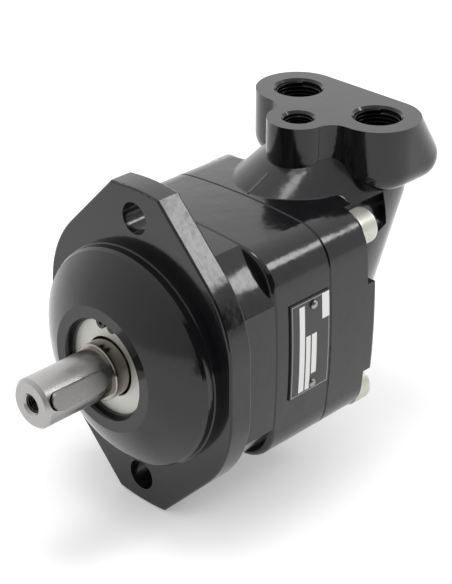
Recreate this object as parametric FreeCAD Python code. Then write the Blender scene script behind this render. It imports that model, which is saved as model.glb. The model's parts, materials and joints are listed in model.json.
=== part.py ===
"""Bent-axis hydraulic piston pump with a two-bolt flange.

All lengths are in millimetres. The drive shaft lies on the Y axis and its free end points to -Y.
+Z is up and +X is the side with the data plate. The origin is the centre of the pilot at the
face of the mounting flange. The cylinder barrel turns on a second axis, which starts at the
bend point on the shaft axis and rises towards the back.
"""

import FreeCAD
import Part
import math
import os

from FreeCAD import Placement, Rotation, Vector

# Fits and clearances
RUNNING_CLEARANCE = 0.03
BORE_CLEARANCE = 0.04
SCREW_CLEARANCE = 0.5
ASSEMBLY_GAP = 0.02
OPEN_CLEARANCE = 3.0

# Mounting flange and pilot
PILOT_RADIUS = 50.0
PILOT_LENGTH = 4.0
NOSE_RADIUS = 49.25
NOSE_LENGTH = 3.9
FLANGE_THICKNESS = 12.0
FLANGE_END = 76.0
FLANGE_CORNER = (14.0, 75.0)
FLANGE_SLANT = 45.9
FLANGE_HALF_WIDTH = 55.0
FLANGE_FLAT_HALF = 12.0
FLANGE_BOLT_SPACING = 125.0
FLANGE_BOLT_HOLE_RADIUS = 7.0
FLANGE_EDGE_FILLET = 1.0

# Boss round the shaft seal
BOSS_FACE = -20.5
BOSS_RADIUS = 28.3
NOSE_EDGE_CHAMFER = 1.0
PILOT_CHAMFER = 0.5
NOSE_CROWN = 1.0
RECESS_RADIUS = 23.0
RECESS_DEPTH = 3.0

# Square block of the bearing housing, and the same outline on the barrel housing
BLOCK_HALF = 51.5
BLOCK_CROWN_RADIUS = 370.0
BLOCK_CORNER_RADIUS = 18.0
BLOCK_START = 29.0
NECK_TURNED_RADIUS = 58.5
SEAM = 64.0
SEAM_CHAMFER = 0.6
BLOCK_EDGE_FILLET = 2.5

# Barrel housing
BEND_POINT = 76.0
BEND_ANGLE = 40.0
BARREL_FLANGE_THICKNESS = 24.0
PAD_THICKNESS = 6.5
PAD_TOP = 18.0
PAD_BOTTOM = 26.0
PAD_INSET = 30.0
PAD_INSET_TOP = 36.0
PAD_CORNER_RADIUS = 5.0
CASING_WALL = 2.4
CASING_RISE = 3.6
CASING_SAG = 2.0
CASING_TAPER = 0.255
CASING_START = -24.0
CASING_FLOOR = -49.0
CASING_END_WALL = 20.5
CASING_BACK_FILLET = 20.0
CASING_ROOT_FILLET = 2.0
CASING_ROOT_REACH = 10.0

# Port block on top of the barrel housing
PORT_FACE = 77.7
PORT_X = 23.3
PORT_Y = 123.3
PORT_LOBE_RADIUS = 19.5
DRAIN_Y = 97.6
DRAIN_LOBE_RADIUS = 14.0
PORT_WEB_FILLET = 9.0
PORT_UNDERSIDE = 47.0
PORT_UNDERSIDE_FILLET = 9.5
PORT_BACK_LEAN = 33.0
PORT_THREAD_RADIUS = 10.48
PORT_THREAD_DEPTH = 15.0
PORT_CHAMFER = 1.1
PORT_DRILL_RADIUS = 7.5
PORT_DRILL_DEPTH = 24.0
DRAIN_THREAD_RADIUS = 6.58
DRAIN_THREAD_DEPTH = 12.0
DRAIN_DRILL_RADIUS = 3.0
PASSAGE_RADIUS = 4.5

# Screws between the two housings
SCREW_PLACE = 39.5
SCREW_RADIUS = 5.0
SCREW_HEAD_RADIUS = 8.0
SCREW_HEAD_HEIGHT = 10.0
SCREW_SOCKET_FLATS = 8.0
SCREW_SOCKET_DEPTH = 5.0
SCREW_GRIP_IN_BLOCK = 18.0
SCREW_HEAD_CHAMFER = 0.8
SCREW_POCKET_RADIUS = 9.2

# Drive shaft
SHAFT_RADIUS = 11.0
SHAFT_END = -58.4
SHAFT_CHAMFER = 1.5
SHAFT_MIDDLE_RADIUS = 14.0
SHAFT_THREAD_HOLE_RADIUS = 4.0
SHAFT_THREAD_HOLE_DEPTH = 20.0
SHAFT_THREAD_HOLE_SINK = 1.0
KEY_WIDTH = 8.0
KEY_LENGTH = 28.0
KEY_TIP = -55.8
KEYWAY_START = -56.6
KEY_SEAT_DEPTH = 4.0
KEY_HEIGHT = 6.0
KEY_ANGLE = 20.0
KEYWAY_SIDE_GAP = 0.02

# Seal group
SLEEVE_RADIUS = 12.6
SLEEVE_FRONT = -23.4
SLEEVE_CHAMFER = 0.4
CIRCLIP_THICKNESS = 1.5
CIRCLIP_WIDTH = 3.0
CIRCLIP_GROOVE_DEPTH = 1.2
CIRCLIP_LUG_RADIUS = 2.6
CIRCLIP_LUG_HOLE_RADIUS = 1.0
CIRCLIP_LUG_ANGLE = 9.0
CARRIER_RADIUS = 21.95
CARRIER_THICKNESS = 8.6
CARRIER_BORE_GAP = 0.8
CARRIER_WALL = 2.4
SEAL_OUTER_RADIUS = 19.0
SEAL_CASE_WALL = 1.2
SEAL_LIP_THICKNESS = 2.2
O_RING_RADIUS = 0.9
HOUSING_O_RING_RADIUS = 1.2
HOUSING_O_RING_PLACE = 43.5

# Bearings: bore radius, outer radius, width, roller radius, roller length, roller count, tilt
FRONT_BEARING_BORE = 11.0
FRONT_BEARING_OUTER = 22.0
FRONT_BEARING_WIDTH = 15.0
FRONT_ROLLER_RADIUS = 2.3
FRONT_ROLLER_LENGTH = 9.5
FRONT_ROLLER_COUNT = 17
FRONT_BEARING_TILT = 12.0
FRONT_BEARING_SEAT = 14.0
REAR_BEARING_BORE = 17.5
REAR_BEARING_OUTER = 36.0
REAR_BEARING_WIDTH = 18.0
REAR_ROLLER_RADIUS = 4.0
REAR_ROLLER_LENGTH = 12.5
REAR_ROLLER_COUNT = 16
REAR_BEARING_TILT = 14.0
REAR_BEARING_SEAT = 33.0
BEARING_RIB = 1.2
BEARING_END_GAP = 0.25
CAGE_THICKNESS = 1.0
CAGE_RIM = 1.4
CAGE_POCKET_GAP = 0.15
NUT_RADIUS = 17.0
NUT_WIDTH = 5.5
NUT_SLOT_WIDTH = 4.0
NUT_SLOT_DEPTH = 1.8
NUT_SLOTS = 4
SPACER_RADIUS = 13.6

# Driving flange of the shaft and its timing gear
HUB_WALL = 1.2
HUB_FACE_BEHIND_BEND = 2.0
HUB_SHOULDER_STEP = 4.5
HUB_SHOULDER_START = 54.0
HUB_SHOULDER_THICKNESS = 2.5
HUB_NECK_RADIUS = 22.0
DISH_RADIUS = 7.0
GEAR_TEETH = 28
GEAR_RIM = 1.5
GEAR_FACE_WIDTH = 6.0
GEAR_ADDENDUM = 1.7
GEAR_DEDENDUM = 2.1
GEAR_FLANK_ANGLE = 22.0
GEAR_BACKLASH = 0.36

# Pistons and cylinder barrel
PISTONS = 7
BALL_CIRCLE_RADIUS = 18.5
BALL_RADIUS = 5.8
BALL_RING_RADIUS = 6.8
PISTON_LENGTH = 40.0
PISTON_NECK_RADIUS = 2.3
PISTON_WAIST_RADIUS = 3.9
PISTON_ROD_RADIUS = 4.6
PISTON_WAIST_PLACE = 14.0
PISTON_ROD_END = PISTON_LENGTH - 4.5
PISTON_HEAD_RADIUS = 5.9
PISTON_HEAD_CROWN = 4.2
PISTON_RING_WIDTH = 2.2
PISTON_RING_SEAT_RADIUS = 4.9
CYLINDER_BORE_RADIUS = 6.1
BARREL_GEAR_RIM = 1.0
BARREL_FRONT = 21.5
CYLINDER_END_ROOM = 1.4
CYLINDER_END_WALL = 4.5
CYLINDER_PORT_RADIUS = 3.0
CYLINDER_MOUTH_CHAMFER = 0.6
BARREL_GEAR_GRIP = 6.5
BARREL_ROOM = 2.0
GEAR_ROOM = 1.5
CAVITY_STEP = 2.5
GEAR_CAVITY_START = -14.0

# Centre pin and spring of the barrel
PIN_BALL_RADIUS = 5.0
PIN_ROD_RADIUS = 3.2
PIN_GUIDE_RADIUS = 6.5
PIN_GUIDE_START = 26.0
PIN_GUIDE_LENGTH = 5.0
PIN_TAIL_RADIUS = 3.0
PIN_TAIL_LENGTH = 6.0
CENTRE_BORE_DEPTH = 29.0
SPRING_COIL_RADIUS = 4.6
SPRING_WIRE = 1.5
SPRING_TURNS = 6
SPRING_WASHER_THICKNESS = 1.0

# Valve plate
VALVE_PLATE_STEP = 0.5
VALVE_PLATE_THICKNESS = 5.0
KIDNEY_HALF_WIDTH = 2.6
KIDNEY_HALF_ANGLE = 62.0
KIDNEY_DEPTH_IN_HOUSING = 5.0
VALVE_PIN_RADIUS = 2.0
VALVE_PIN_INSET = 4.0
VALVE_PIN_LENGTH = 8.0

# Data plate on the side of the bearing housing
PLATE_WIDTH = 24.0
PLATE_HEIGHT = 45.0
PLATE_THICKNESS = 0.8
PLATE_MIDDLE_Y = 50.6
PLATE_MIDDLE_Z = 3.5
PLATE_RIVET_Y = 52.2
PLATE_RIVET_SPACING = 38.0
PLATE_RIVET_RADIUS = 1.9
PLATE_RIVET_SHANK = 1.1
PLATE_RIVET_DEPTH = 5.0
PLATE_RIVET_CROWN = 0.9

# Lengths that follow from the sizes above
SINE = math.sin(math.radians(BEND_ANGLE))
COSINE = math.cos(math.radians(BEND_ANGLE))
BLOCK_CROWN_INSET = BLOCK_CROWN_RADIUS - BLOCK_HALF
BLOCK_CORNER_PLACE = (math.sqrt(2 * (BLOCK_CROWN_RADIUS - BLOCK_CORNER_RADIUS) ** 2 - BLOCK_CROWN_INSET ** 2)
                      - BLOCK_CROWN_INSET) / 2
HUB_RADIUS = BALL_CIRCLE_RADIUS + BALL_RING_RADIUS + HUB_WALL
GEAR_INNER_RADIUS = HUB_RADIUS + GEAR_RIM
GEAR_OUTER_RADIUS = GEAR_INNER_RADIUS + GEAR_FACE_WIDTH
GEAR_CAVITY_RADIUS = GEAR_OUTER_RADIUS + GEAR_ROOM
GEAR_CAVITY_END = BARREL_FRONT + BARREL_GEAR_GRIP + GEAR_ROOM
CAVITY_RADIUS = GEAR_CAVITY_RADIUS + CAVITY_STEP
CASING_BASE_RADIUS = GEAR_CAVITY_RADIUS + CASING_RISE + CASING_WALL + CASING_TAPER * GEAR_CAVITY_END
BARREL_RADIUS = GEAR_INNER_RADIUS - BARREL_GEAR_RIM
BARREL_CAVITY_RADIUS = BARREL_RADIUS + BARREL_ROOM
BARREL_BACK = (BALL_CIRCLE_RADIUS * SINE + PISTON_LENGTH + PISTON_HEAD_CROWN + CYLINDER_END_ROOM
               + CYLINDER_END_WALL)
VALVE_PLATE_RADIUS = BARREL_RADIUS - VALVE_PLATE_STEP
VALVE_PIN_PLACE = VALVE_PLATE_RADIUS - VALVE_PIN_INSET
BORE_CIRCLE_RADIUS = BALL_CIRCLE_RADIUS * (1 + COSINE) / 2
PISTON_OFFSET = BALL_CIRCLE_RADIUS * (1 - COSINE) / 2
PISTON_REACH = math.sqrt(PISTON_LENGTH ** 2 - PISTON_OFFSET ** 2)
HUB_FACE = BEND_POINT + HUB_FACE_BEHIND_BEND
BARREL_FLANGE_BACK = SEAM + BARREL_FLANGE_THICKNESS
VALVE_SEAT = BARREL_BACK + RUNNING_CLEARANCE + VALVE_PLATE_THICKNESS
CASING_LENGTH = VALVE_SEAT + CASING_END_WALL
CIRCLIP_BACK = BOSS_FACE + RECESS_DEPTH + CIRCLIP_THICKNESS
CARRIER_FRONT = CIRCLIP_BACK
CARRIER_BACK = CARRIER_FRONT + CARRIER_THICKNESS
PITCH_CONE = math.radians(90 - BEND_ANGLE / 2)
DATUM = Vector(0, 0, 0)
SHAFT_AXIS = Vector(0, 1, 0)
UP = Vector(0, 0, 1)
SIDE = Vector(1, 0, 0)


def disc(radius, start, end, x=0.0, z=0.0):
    """Round bar parallel to the shaft axis."""
    return Part.makeCylinder(radius, end - start, Vector(x, start, z), SHAFT_AXIS)


def turned(points):
    """Solid turned about the shaft axis from a closed outline of (radius, y) points."""
    corners = [Vector(radius, along, 0) for radius, along in points]
    outline = Part.makePolygon(corners + corners[:1])
    return Part.Face(outline).revolve(DATUM, SHAFT_AXIS, 360)


def joined(shapes):
    """One solid from shapes that touch or overlap."""
    result = shapes[0].multiFuse(shapes[1:]) if len(shapes) > 1 else shapes[0]
    return result.removeSplitter()


def without(shape, tools):
    """Shape with every tool cut away."""
    return shape.cut(Part.makeCompound(tools) if len(tools) > 1 else tools[0])


def on_barrel_axis(shape):
    """Moves a shape from the shaft axis, with its start at the datum, onto the barrel axis."""
    moved = shape.copy()
    turn = Rotation(SIDE, BEND_ANGLE)
    moved.Placement = Placement(Vector(0, BEND_POINT, 0), turn).multiply(moved.Placement)
    return moved


def about_shaft(shape, degrees):
    """Copy of a shape turned about the shaft axis."""
    copy = shape.copy()
    copy.rotate(DATUM, SHAFT_AXIS, degrees)
    return copy


def filleted(shape, edges, radius):
    """Shape with the named edges rounded."""
    return shape.makeFillet(radius, edges) if edges else shape


def four_corners(place):
    """The four screw places of the square block."""
    return [(x, z) for x in (-place, place) for z in (-place, place)]


def block_outline(start, growth=0.0):
    """Square outline with crowned sides and round corners, as a face at y = start."""
    crown = BLOCK_HALF + growth
    radius = BLOCK_CORNER_RADIUS + growth
    centre = BLOCK_CORNER_PLACE
    corner = centre + radius * math.sqrt(0.5)
    share = (BLOCK_CROWN_RADIUS + growth) / (BLOCK_CROWN_RADIUS - BLOCK_CORNER_RADIUS)
    side = share * (centre + BLOCK_CROWN_INSET) - BLOCK_CROWN_INSET
    reach = share * centre
    edges = []
    for turn in range(4):
        quarter = [Vector(side, start, -reach), Vector(crown, start, 0), Vector(side, start, reach),
                   Vector(corner, start, corner), Vector(reach, start, side)]
        spin = Rotation(SHAFT_AXIS, -90 * turn)
        a, b, c, d, e = [spin.multVec(point) for point in quarter]
        edges.append(Part.Arc(a, b, c).toShape())
        edges.append(Part.Arc(c, d, e).toShape())
    return Part.Face(Part.Wire(edges))


def block(start, end, growth=0.0):
    """Square block between two places along the shaft axis."""
    return block_outline(start, growth).extrude(Vector(0, end - start, 0))


def bevelled_block(start, end, bevel_start, bevel_end):
    """Square block with a bevelled rim at either end, where it meets its neighbour."""
    body = block(start, end)
    rims = []
    if bevel_start:
        rims.append(start)
    if bevel_end:
        rims.append(end)
    edges = [edge for edge in body.Edges
             if any(abs(vertex.Point.y - rim) < 1e-6 for rim in rims for vertex in edge.Vertexes[:1])
             and abs(edge.Vertexes[0].Point.y - edge.Vertexes[-1].Point.y) < 1e-6]
    return body.makeChamfer(SEAM_CHAMFER, edges)


def flange_plate():
    """Two-bolt mounting flange with angled ends."""
    slant = math.radians(FLANGE_SLANT)
    across = math.sin(slant)
    down = math.cos(slant)
    radius = ((FLANGE_CORNER[1] - FLANGE_FLAT_HALF) * down
              - (FLANGE_HALF_WIDTH - FLANGE_CORNER[0]) * across) / (1 - across)
    centre = Vector(FLANGE_HALF_WIDTH - radius, 0, FLANGE_FLAT_HALF)
    middle = (math.pi / 2 - slant) / 2
    corner = Vector(FLANGE_CORNER[0], 0, FLANGE_CORNER[1])
    shoulder = centre.add(Vector(radius * across, 0, radius * down))
    flank = centre.add(Vector(radius * math.cos(middle), 0, radius * math.sin(middle)))
    waist = Vector(FLANGE_HALF_WIDTH, 0, FLANGE_FLAT_HALF)

    def mirrored(point, left, down):
        return Vector(-point.x if left else point.x, 0, -point.z if down else point.z)

    edges = []
    for down in (False, True):
        ends = [mirrored(corner, True, down), Vector(0, 0, -FLANGE_END if down else FLANGE_END),
                mirrored(corner, False, down)]
        edges.append(Part.Arc(*ends).toShape())
    for left in (False, True):
        edges.append(Part.LineSegment(mirrored(waist, left, False), mirrored(waist, left, True)).toShape())
        for down in (False, True):
            a, b, c, d = [mirrored(point, left, down) for point in (corner, shoulder, flank, waist)]
            edges.append(Part.LineSegment(a, b).toShape())
            edges.append(Part.Arc(b, c, d).toShape())
    outline = Part.Wire(Part.__sortEdges__(edges))
    plate = Part.Face(outline).extrude(Vector(0, FLANGE_THICKNESS, 0))
    rims = [edge for edge in plate.Edges
            if abs(edge.Vertexes[0].Point.y - edge.Vertexes[-1].Point.y) < 1e-6]
    return filleted(plate, rims, FLANGE_EDGE_FILLET)


def nose():
    """Pilot, the slightly smaller disc in front of it and the crowned cone up to the boss."""
    front = -(PILOT_LENGTH + NOSE_LENGTH)
    rim = NOSE_RADIUS - NOSE_EDGE_CHAMFER
    cone_start = Vector(BOSS_RADIUS, BOSS_FACE, 0)
    cone_end = Vector(rim, front - NOSE_EDGE_CHAMFER / 2, 0)
    slope = cone_end.sub(cone_start)
    outward = Vector(-slope.y, slope.x, 0).normalize().multiply(-NOSE_CROWN)
    crown = cone_start.add(slope.multiply(0.5)).add(outward)
    corners = [cone_end, Vector(NOSE_RADIUS, front + NOSE_EDGE_CHAMFER, 0),
               Vector(NOSE_RADIUS, -PILOT_LENGTH, 0),
               Vector(PILOT_RADIUS - PILOT_CHAMFER, -PILOT_LENGTH, 0),
               Vector(PILOT_RADIUS, -PILOT_LENGTH + PILOT_CHAMFER, 0),
               Vector(PILOT_RADIUS, FLANGE_THICKNESS / 2, 0),
               Vector(0, FLANGE_THICKNESS / 2, 0), Vector(0, BOSS_FACE, 0), cone_start]
    outline = Part.Wire([Part.Arc(cone_start, crown, cone_end).toShape()]
                        + Part.makePolygon(corners).Edges)
    return Part.Face(outline).revolve(DATUM, SHAFT_AXIS, 360)


def bearing_housing():
    """Front casting: flange, nose, turned neck and square block, bored for shaft, bearings and seal."""
    neck = block(FLANGE_THICKNESS / 2, BLOCK_START + 1).common(
        disc(NECK_TURNED_RADIUS, 0, BLOCK_START + 2))
    shell = bevelled_block(BLOCK_START, SEAM, False, True)
    steps = [edge for edge in shell.Edges
             if abs(edge.Vertexes[0].Point.y - BLOCK_START) < 1e-6
             and abs(edge.Vertexes[-1].Point.y - BLOCK_START) < 1e-6]
    shell = filleted(shell, steps, BLOCK_EDGE_FILLET)
    body = joined([flange_plate(), nose(), neck, shell])
    groove_front = CIRCLIP_BACK - CIRCLIP_THICKNESS - ASSEMBLY_GAP
    ring_centre = HOUSING_O_RING_PLACE
    tools = [
        disc(RECESS_RADIUS, BOSS_FACE - 1, CIRCLIP_BACK),
        disc(RECESS_RADIUS + CIRCLIP_GROOVE_DEPTH, groove_front, CIRCLIP_BACK),
        disc(FRONT_BEARING_OUTER, CIRCLIP_BACK - 1, FRONT_BEARING_SEAT),
        disc(REAR_BEARING_BORE + OPEN_CLEARANCE, FRONT_BEARING_SEAT - 1, REAR_BEARING_SEAT + 1),
        disc(REAR_BEARING_OUTER, REAR_BEARING_SEAT, SEAM + 1),
        disc(CAVITY_RADIUS, HUB_SHOULDER_START - OPEN_CLEARANCE / 2, SEAM + 1),
    ]
    groove_depth = 2 * HOUSING_O_RING_RADIUS
    groove = disc(ring_centre + HOUSING_O_RING_RADIUS + 0.1, SEAM - groove_depth, SEAM + 1).cut(
        disc(ring_centre - HOUSING_O_RING_RADIUS - 0.1, SEAM - groove_depth - 1, SEAM + 2))
    tools.append(groove)
    for z in (-FLANGE_BOLT_SPACING / 2, FLANGE_BOLT_SPACING / 2):
        tools.append(disc(FLANGE_BOLT_HOLE_RADIUS, -1, FLANGE_THICKNESS + 1, 0, z))
    for x, z in four_corners(SCREW_PLACE):
        tools.append(disc(SCREW_RADIUS, SEAM - SCREW_GRIP_IN_BLOCK - 2, SEAM + 1, x, z))
    tools.extend(rivet_holes())
    return without(body, tools)


def back_lean():
    """How far the back of the port block runs backwards for each millimetre down."""
    return math.tan(math.radians(PORT_BACK_LEAN))


def casing_radius(along):
    """Outer radius of the bent casing at a distance from the bend point."""
    return CASING_BASE_RADIUS - CASING_TAPER * along


def bent_casing():
    """Tapered casing with a round end about the cylinder barrel, cut level under the flange."""
    cone = turned([(0, CASING_START), (casing_radius(CASING_START), CASING_START),
                   (casing_radius(CASING_LENGTH), CASING_LENGTH), (0, CASING_LENGTH)])
    back_rim = [edge for edge in cone.Edges
                if edge.Closed and abs(edge.Vertexes[0].Point.y - CASING_LENGTH) < 1e-6]
    cone = filleted(cone, back_rim, CASING_BACK_FILLET)
    start = Vector(0, BEND_POINT - CASING_RISE * SINE, CASING_RISE * COSINE)
    cone.Placement = Placement(start, Rotation(SIDE, BEND_ANGLE - CASING_SAG))
    front = SEAM + SEAM_CHAMFER
    keep = Part.makeBox(4 * BLOCK_HALF, 4 * BLOCK_HALF, 4 * BLOCK_HALF,
                        Vector(-2 * BLOCK_HALF, front, CASING_FLOOR))
    return cone.common(keep)


def lobe_plan(height):
    """Stadium of the two large port lobes, as a face at z = height."""
    front = PORT_Y - PORT_LOBE_RADIUS
    back = PORT_Y + PORT_LOBE_RADIUS
    reach = PORT_X + PORT_LOBE_RADIUS
    edges = [
        Part.LineSegment(Vector(-PORT_X, front, height), Vector(PORT_X, front, height)),
        Part.Arc(Vector(PORT_X, front, height), Vector(reach, PORT_Y, height), Vector(PORT_X, back, height)),
        Part.LineSegment(Vector(PORT_X, back, height), Vector(-PORT_X, back, height)),
        Part.Arc(Vector(-PORT_X, back, height), Vector(-reach, PORT_Y, height),
                 Vector(-PORT_X, front, height)),
    ]
    return Part.Face(Part.Wire([edge.toShape() for edge in edges]))


def port_block():
    """Upright block with three port lobes, and its back that runs down square to the barrel axis."""
    height = PORT_FACE - PORT_UNDERSIDE
    lobes = lobe_plan(PORT_UNDERSIDE).extrude(UP * height)
    drain = Part.makeCylinder(DRAIN_LOBE_RADIUS, height, Vector(0, DRAIN_Y, PORT_UNDERSIDE), UP)
    web = Part.makeBox(2 * DRAIN_LOBE_RADIUS, PORT_Y - DRAIN_Y, height,
                       Vector(-DRAIN_LOBE_RADIUS, DRAIN_Y, PORT_UNDERSIDE))
    upright = joined([lobes, drain, web])
    corners = [edge for edge in upright.Edges
               if abs(edge.Vertexes[0].Point.x - edge.Vertexes[-1].Point.x) < 1e-6
               and abs(abs(edge.Vertexes[0].Point.x) - DRAIN_LOBE_RADIUS) < 1e-6
               and abs(edge.Vertexes[0].Point.y - (PORT_Y - PORT_LOBE_RADIUS)) < 1e-6
               and abs(edge.Length - height) < 1e-6]
    upright = filleted(upright, corners, PORT_WEB_FILLET)
    lean = Vector(0, -height * back_lean(), height)
    back_face = lobe_plan(PORT_UNDERSIDE)
    back_face.translate(Vector(0, height * back_lean(), 0))
    sloped = back_face.extrude(lean)
    reach = PORT_X + PORT_LOBE_RADIUS
    side = [Vector(-reach, PORT_Y, PORT_FACE), Vector(-reach, PORT_Y, PORT_UNDERSIDE),
            Vector(-reach, PORT_Y + height * back_lean(), PORT_UNDERSIDE)]
    wedge = Part.Face(Part.makePolygon(side + side[:1])).extrude(SIDE * (2 * reach))
    body = joined([upright, sloped, wedge])
    underside = [edge for edge in body.Edges
                 if all(abs(vertex.Point.z - PORT_UNDERSIDE) < 1e-6 for vertex in edge.Vertexes)
                 and edge.CenterOfMass.y > PORT_Y - PORT_LOBE_RADIUS + 1]
    return filleted(body, underside, PORT_UNDERSIDE_FILLET)


def kidney(sign, start, end, half_width):
    """Curved slot round the barrel axis, before it is moved there."""
    radius = BORE_CIRCLE_RADIUS
    outline = Part.makePolygon([Vector(radius - half_width, start, 0), Vector(radius + half_width, start, 0),
                                Vector(radius + half_width, end, 0), Vector(radius - half_width, end, 0),
                                Vector(radius - half_width, start, 0)])
    slot = Part.Face(outline).revolve(DATUM, SHAFT_AXIS, 2 * KIDNEY_HALF_ANGLE)
    ends = []
    for angle in (0, 2 * KIDNEY_HALF_ANGLE):
        ends.append(about_shaft(disc(half_width, start, end, radius, 0), angle))
    slot = joined([slot] + ends)
    return about_shaft(slot, -KIDNEY_HALF_ANGLE if sign > 0 else 180 - KIDNEY_HALF_ANGLE)


def port_passages():
    """Threaded port mouths, drillings and curved slots that lead to the valve plate."""
    tools = []
    for sign in (-1, 1):
        x = sign * PORT_X
        tools.append(upright_bore(x, PORT_Y, PORT_THREAD_RADIUS, PORT_THREAD_DEPTH, PORT_CHAMFER))
        tools.append(upright_bore(x, PORT_Y, PORT_DRILL_RADIUS, PORT_DRILL_DEPTH, 0))
        tools.append(on_barrel_axis(kidney(sign, VALVE_SEAT - 1, VALVE_SEAT + KIDNEY_DEPTH_IN_HOUSING,
                                           KIDNEY_HALF_WIDTH)))
        mouth = Vector(x, PORT_Y, PORT_FACE - PORT_DRILL_DEPTH + PASSAGE_RADIUS)
        along = VALVE_SEAT + KIDNEY_DEPTH_IN_HOUSING / 2
        slot = Vector(sign * BORE_CIRCLE_RADIUS, BEND_POINT + along * COSINE, along * SINE)
        run = slot.sub(mouth)
        tools.append(Part.makeCylinder(PASSAGE_RADIUS, run.Length, mouth, run))
    tools.append(upright_bore(0, DRAIN_Y, DRAIN_THREAD_RADIUS, DRAIN_THREAD_DEPTH, PORT_CHAMFER))
    drain_depth = PORT_FACE - BARREL_CAVITY_RADIUS / COSINE - (DRAIN_Y - BEND_POINT) * SINE / COSINE + 4
    tools.append(upright_bore(0, DRAIN_Y, DRAIN_DRILL_RADIUS, drain_depth, 0))
    return tools


def upright_bore(x, y, radius, depth, chamfer):
    """Bore that opens on the port face."""
    bore = Part.makeCylinder(radius, depth + 1, Vector(x, y, PORT_FACE - depth), UP)
    if not chamfer:
        return bore
    mouth = Part.makeCone(radius, radius + chamfer + 1, chamfer + 1, Vector(x, y, PORT_FACE - chamfer), UP)
    return bore.fuse(mouth)


def barrel_cavity():
    """Room for the driving flange, the gears, the barrel and the valve plate."""
    return [
        disc(CAVITY_RADIUS, SEAM - 1, BEND_POINT - 5),
        disc(HUB_RADIUS + OPEN_CLEARANCE, SEAM, HUB_FACE + OPEN_CLEARANCE),
        on_barrel_axis(disc(GEAR_CAVITY_RADIUS, GEAR_CAVITY_START, GEAR_CAVITY_END)),
        on_barrel_axis(disc(BARREL_CAVITY_RADIUS, 0, BARREL_BACK)),
        on_barrel_axis(disc(VALVE_PLATE_RADIUS + ASSEMBLY_GAP, BARREL_BACK - 1, VALVE_SEAT)),
        on_barrel_axis(disc(VALVE_PIN_RADIUS, VALVE_SEAT - 1, VALVE_SEAT + VALVE_PIN_LENGTH / 2, 0,
                            VALVE_PIN_PLACE)),
    ]


def corner_pockets():
    """Lower seats for the screw heads at the corners of the flange back, with room for the heads."""
    tools = []
    for x, z in four_corners(SCREW_PLACE):
        edge = PAD_TOP if z > 0 else PAD_BOTTOM
        inset = PAD_INSET_TOP if z > 0 else PAD_INSET
        reach = 2 * BLOCK_HALF
        low = Vector(inset if x > 0 else -inset - reach, BARREL_FLANGE_BACK,
                     edge if z > 0 else -edge - reach)
        pocket = Part.makeBox(reach, PAD_THICKNESS + 1, reach, low)
        inner = [line for line in pocket.Edges
                 if all(abs(abs(vertex.Point.x) - inset) < 1e-6 and abs(abs(vertex.Point.z) - edge) < 1e-6
                        for vertex in line.Vertexes)]
        tools.append(filleted(pocket, inner, PAD_CORNER_RADIUS))
    return tools


def barrel_housing():
    """Rear casting: square flange, bent casing and port block, with its cavity and passages."""
    pad_face = BARREL_FLANGE_BACK + PAD_THICKNESS
    flange = without(bevelled_block(SEAM, pad_face, True, False), corner_pockets())
    back_rim = [edge for edge in flange.Edges
                if all(abs(vertex.Point.y - pad_face) < 1e-6 for vertex in edge.Vertexes)]
    flange = filleted(flange, back_rim, BLOCK_EDGE_FILLET)
    casing = joined([flange, bent_casing()])
    root = [edge for edge in casing.Edges
            if edge.BoundBox.ZMin > BLOCK_HALF - BLOCK_EDGE_FILLET
            and edge.BoundBox.XMin < -CASING_ROOT_REACH
            and edge.BoundBox.XMax > CASING_ROOT_REACH and edge.BoundBox.YMin > SEAM + SEAM_CHAMFER + 0.1
            and edge.BoundBox.YMax - edge.BoundBox.YMin > PAD_THICKNESS]
    casing = filleted(casing, root, CASING_ROOT_FILLET)
    body = joined([casing, port_block()])
    tools = barrel_cavity() + port_passages()
    for x, z in four_corners(SCREW_PLACE):
        tools.append(disc(SCREW_RADIUS + SCREW_CLEARANCE, SEAM - 1, BARREL_FLANGE_BACK + 1, x, z))
        tools.append(disc(SCREW_POCKET_RADIUS, BARREL_FLANGE_BACK,
                          BARREL_FLANGE_BACK + 3 * SCREW_HEAD_HEIGHT, x, z))
    return without(body, tools)


def housing_screws():
    """Four socket-head screws that clamp the housings together."""
    head_back = BARREL_FLANGE_BACK + SCREW_HEAD_HEIGHT
    screws = []
    for x, z in four_corners(SCREW_PLACE):
        profile = [(0, SEAM - SCREW_GRIP_IN_BLOCK), (SCREW_RADIUS - 1, SEAM - SCREW_GRIP_IN_BLOCK),
                   (SCREW_RADIUS, SEAM - SCREW_GRIP_IN_BLOCK + 1), (SCREW_RADIUS, BARREL_FLANGE_BACK),
                   (SCREW_HEAD_RADIUS, BARREL_FLANGE_BACK),
                   (SCREW_HEAD_RADIUS, head_back - SCREW_HEAD_CHAMFER),
                   (SCREW_HEAD_RADIUS - SCREW_HEAD_CHAMFER, head_back), (0, head_back)]
        screw = turned(profile)
        across = SCREW_SOCKET_FLATS / math.sqrt(3)
        corners = [Vector(across * math.cos(math.radians(60 * step)), head_back - SCREW_SOCKET_DEPTH,
                          across * math.sin(math.radians(60 * step))) for step in range(7)]
        socket = Part.Face(Part.makePolygon(corners)).extrude(Vector(0, SCREW_SOCKET_DEPTH + 1, 0))
        screw = screw.cut(socket)
        screw.translate(Vector(x, 0, z))
        screws.append(screw)
    return Part.makeCompound(screws)


def o_ring(place, centre_radius, section_radius):
    """Rubber ring round the shaft axis."""
    return Part.makeTorus(centre_radius, section_radius, Vector(0, place, 0), SHAFT_AXIS)


def housing_o_ring():
    """Rubber ring in the groove at the seam of the housings."""
    return o_ring(SEAM - HOUSING_O_RING_RADIUS, HOUSING_O_RING_PLACE, HOUSING_O_RING_RADIUS - ASSEMBLY_GAP)


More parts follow.
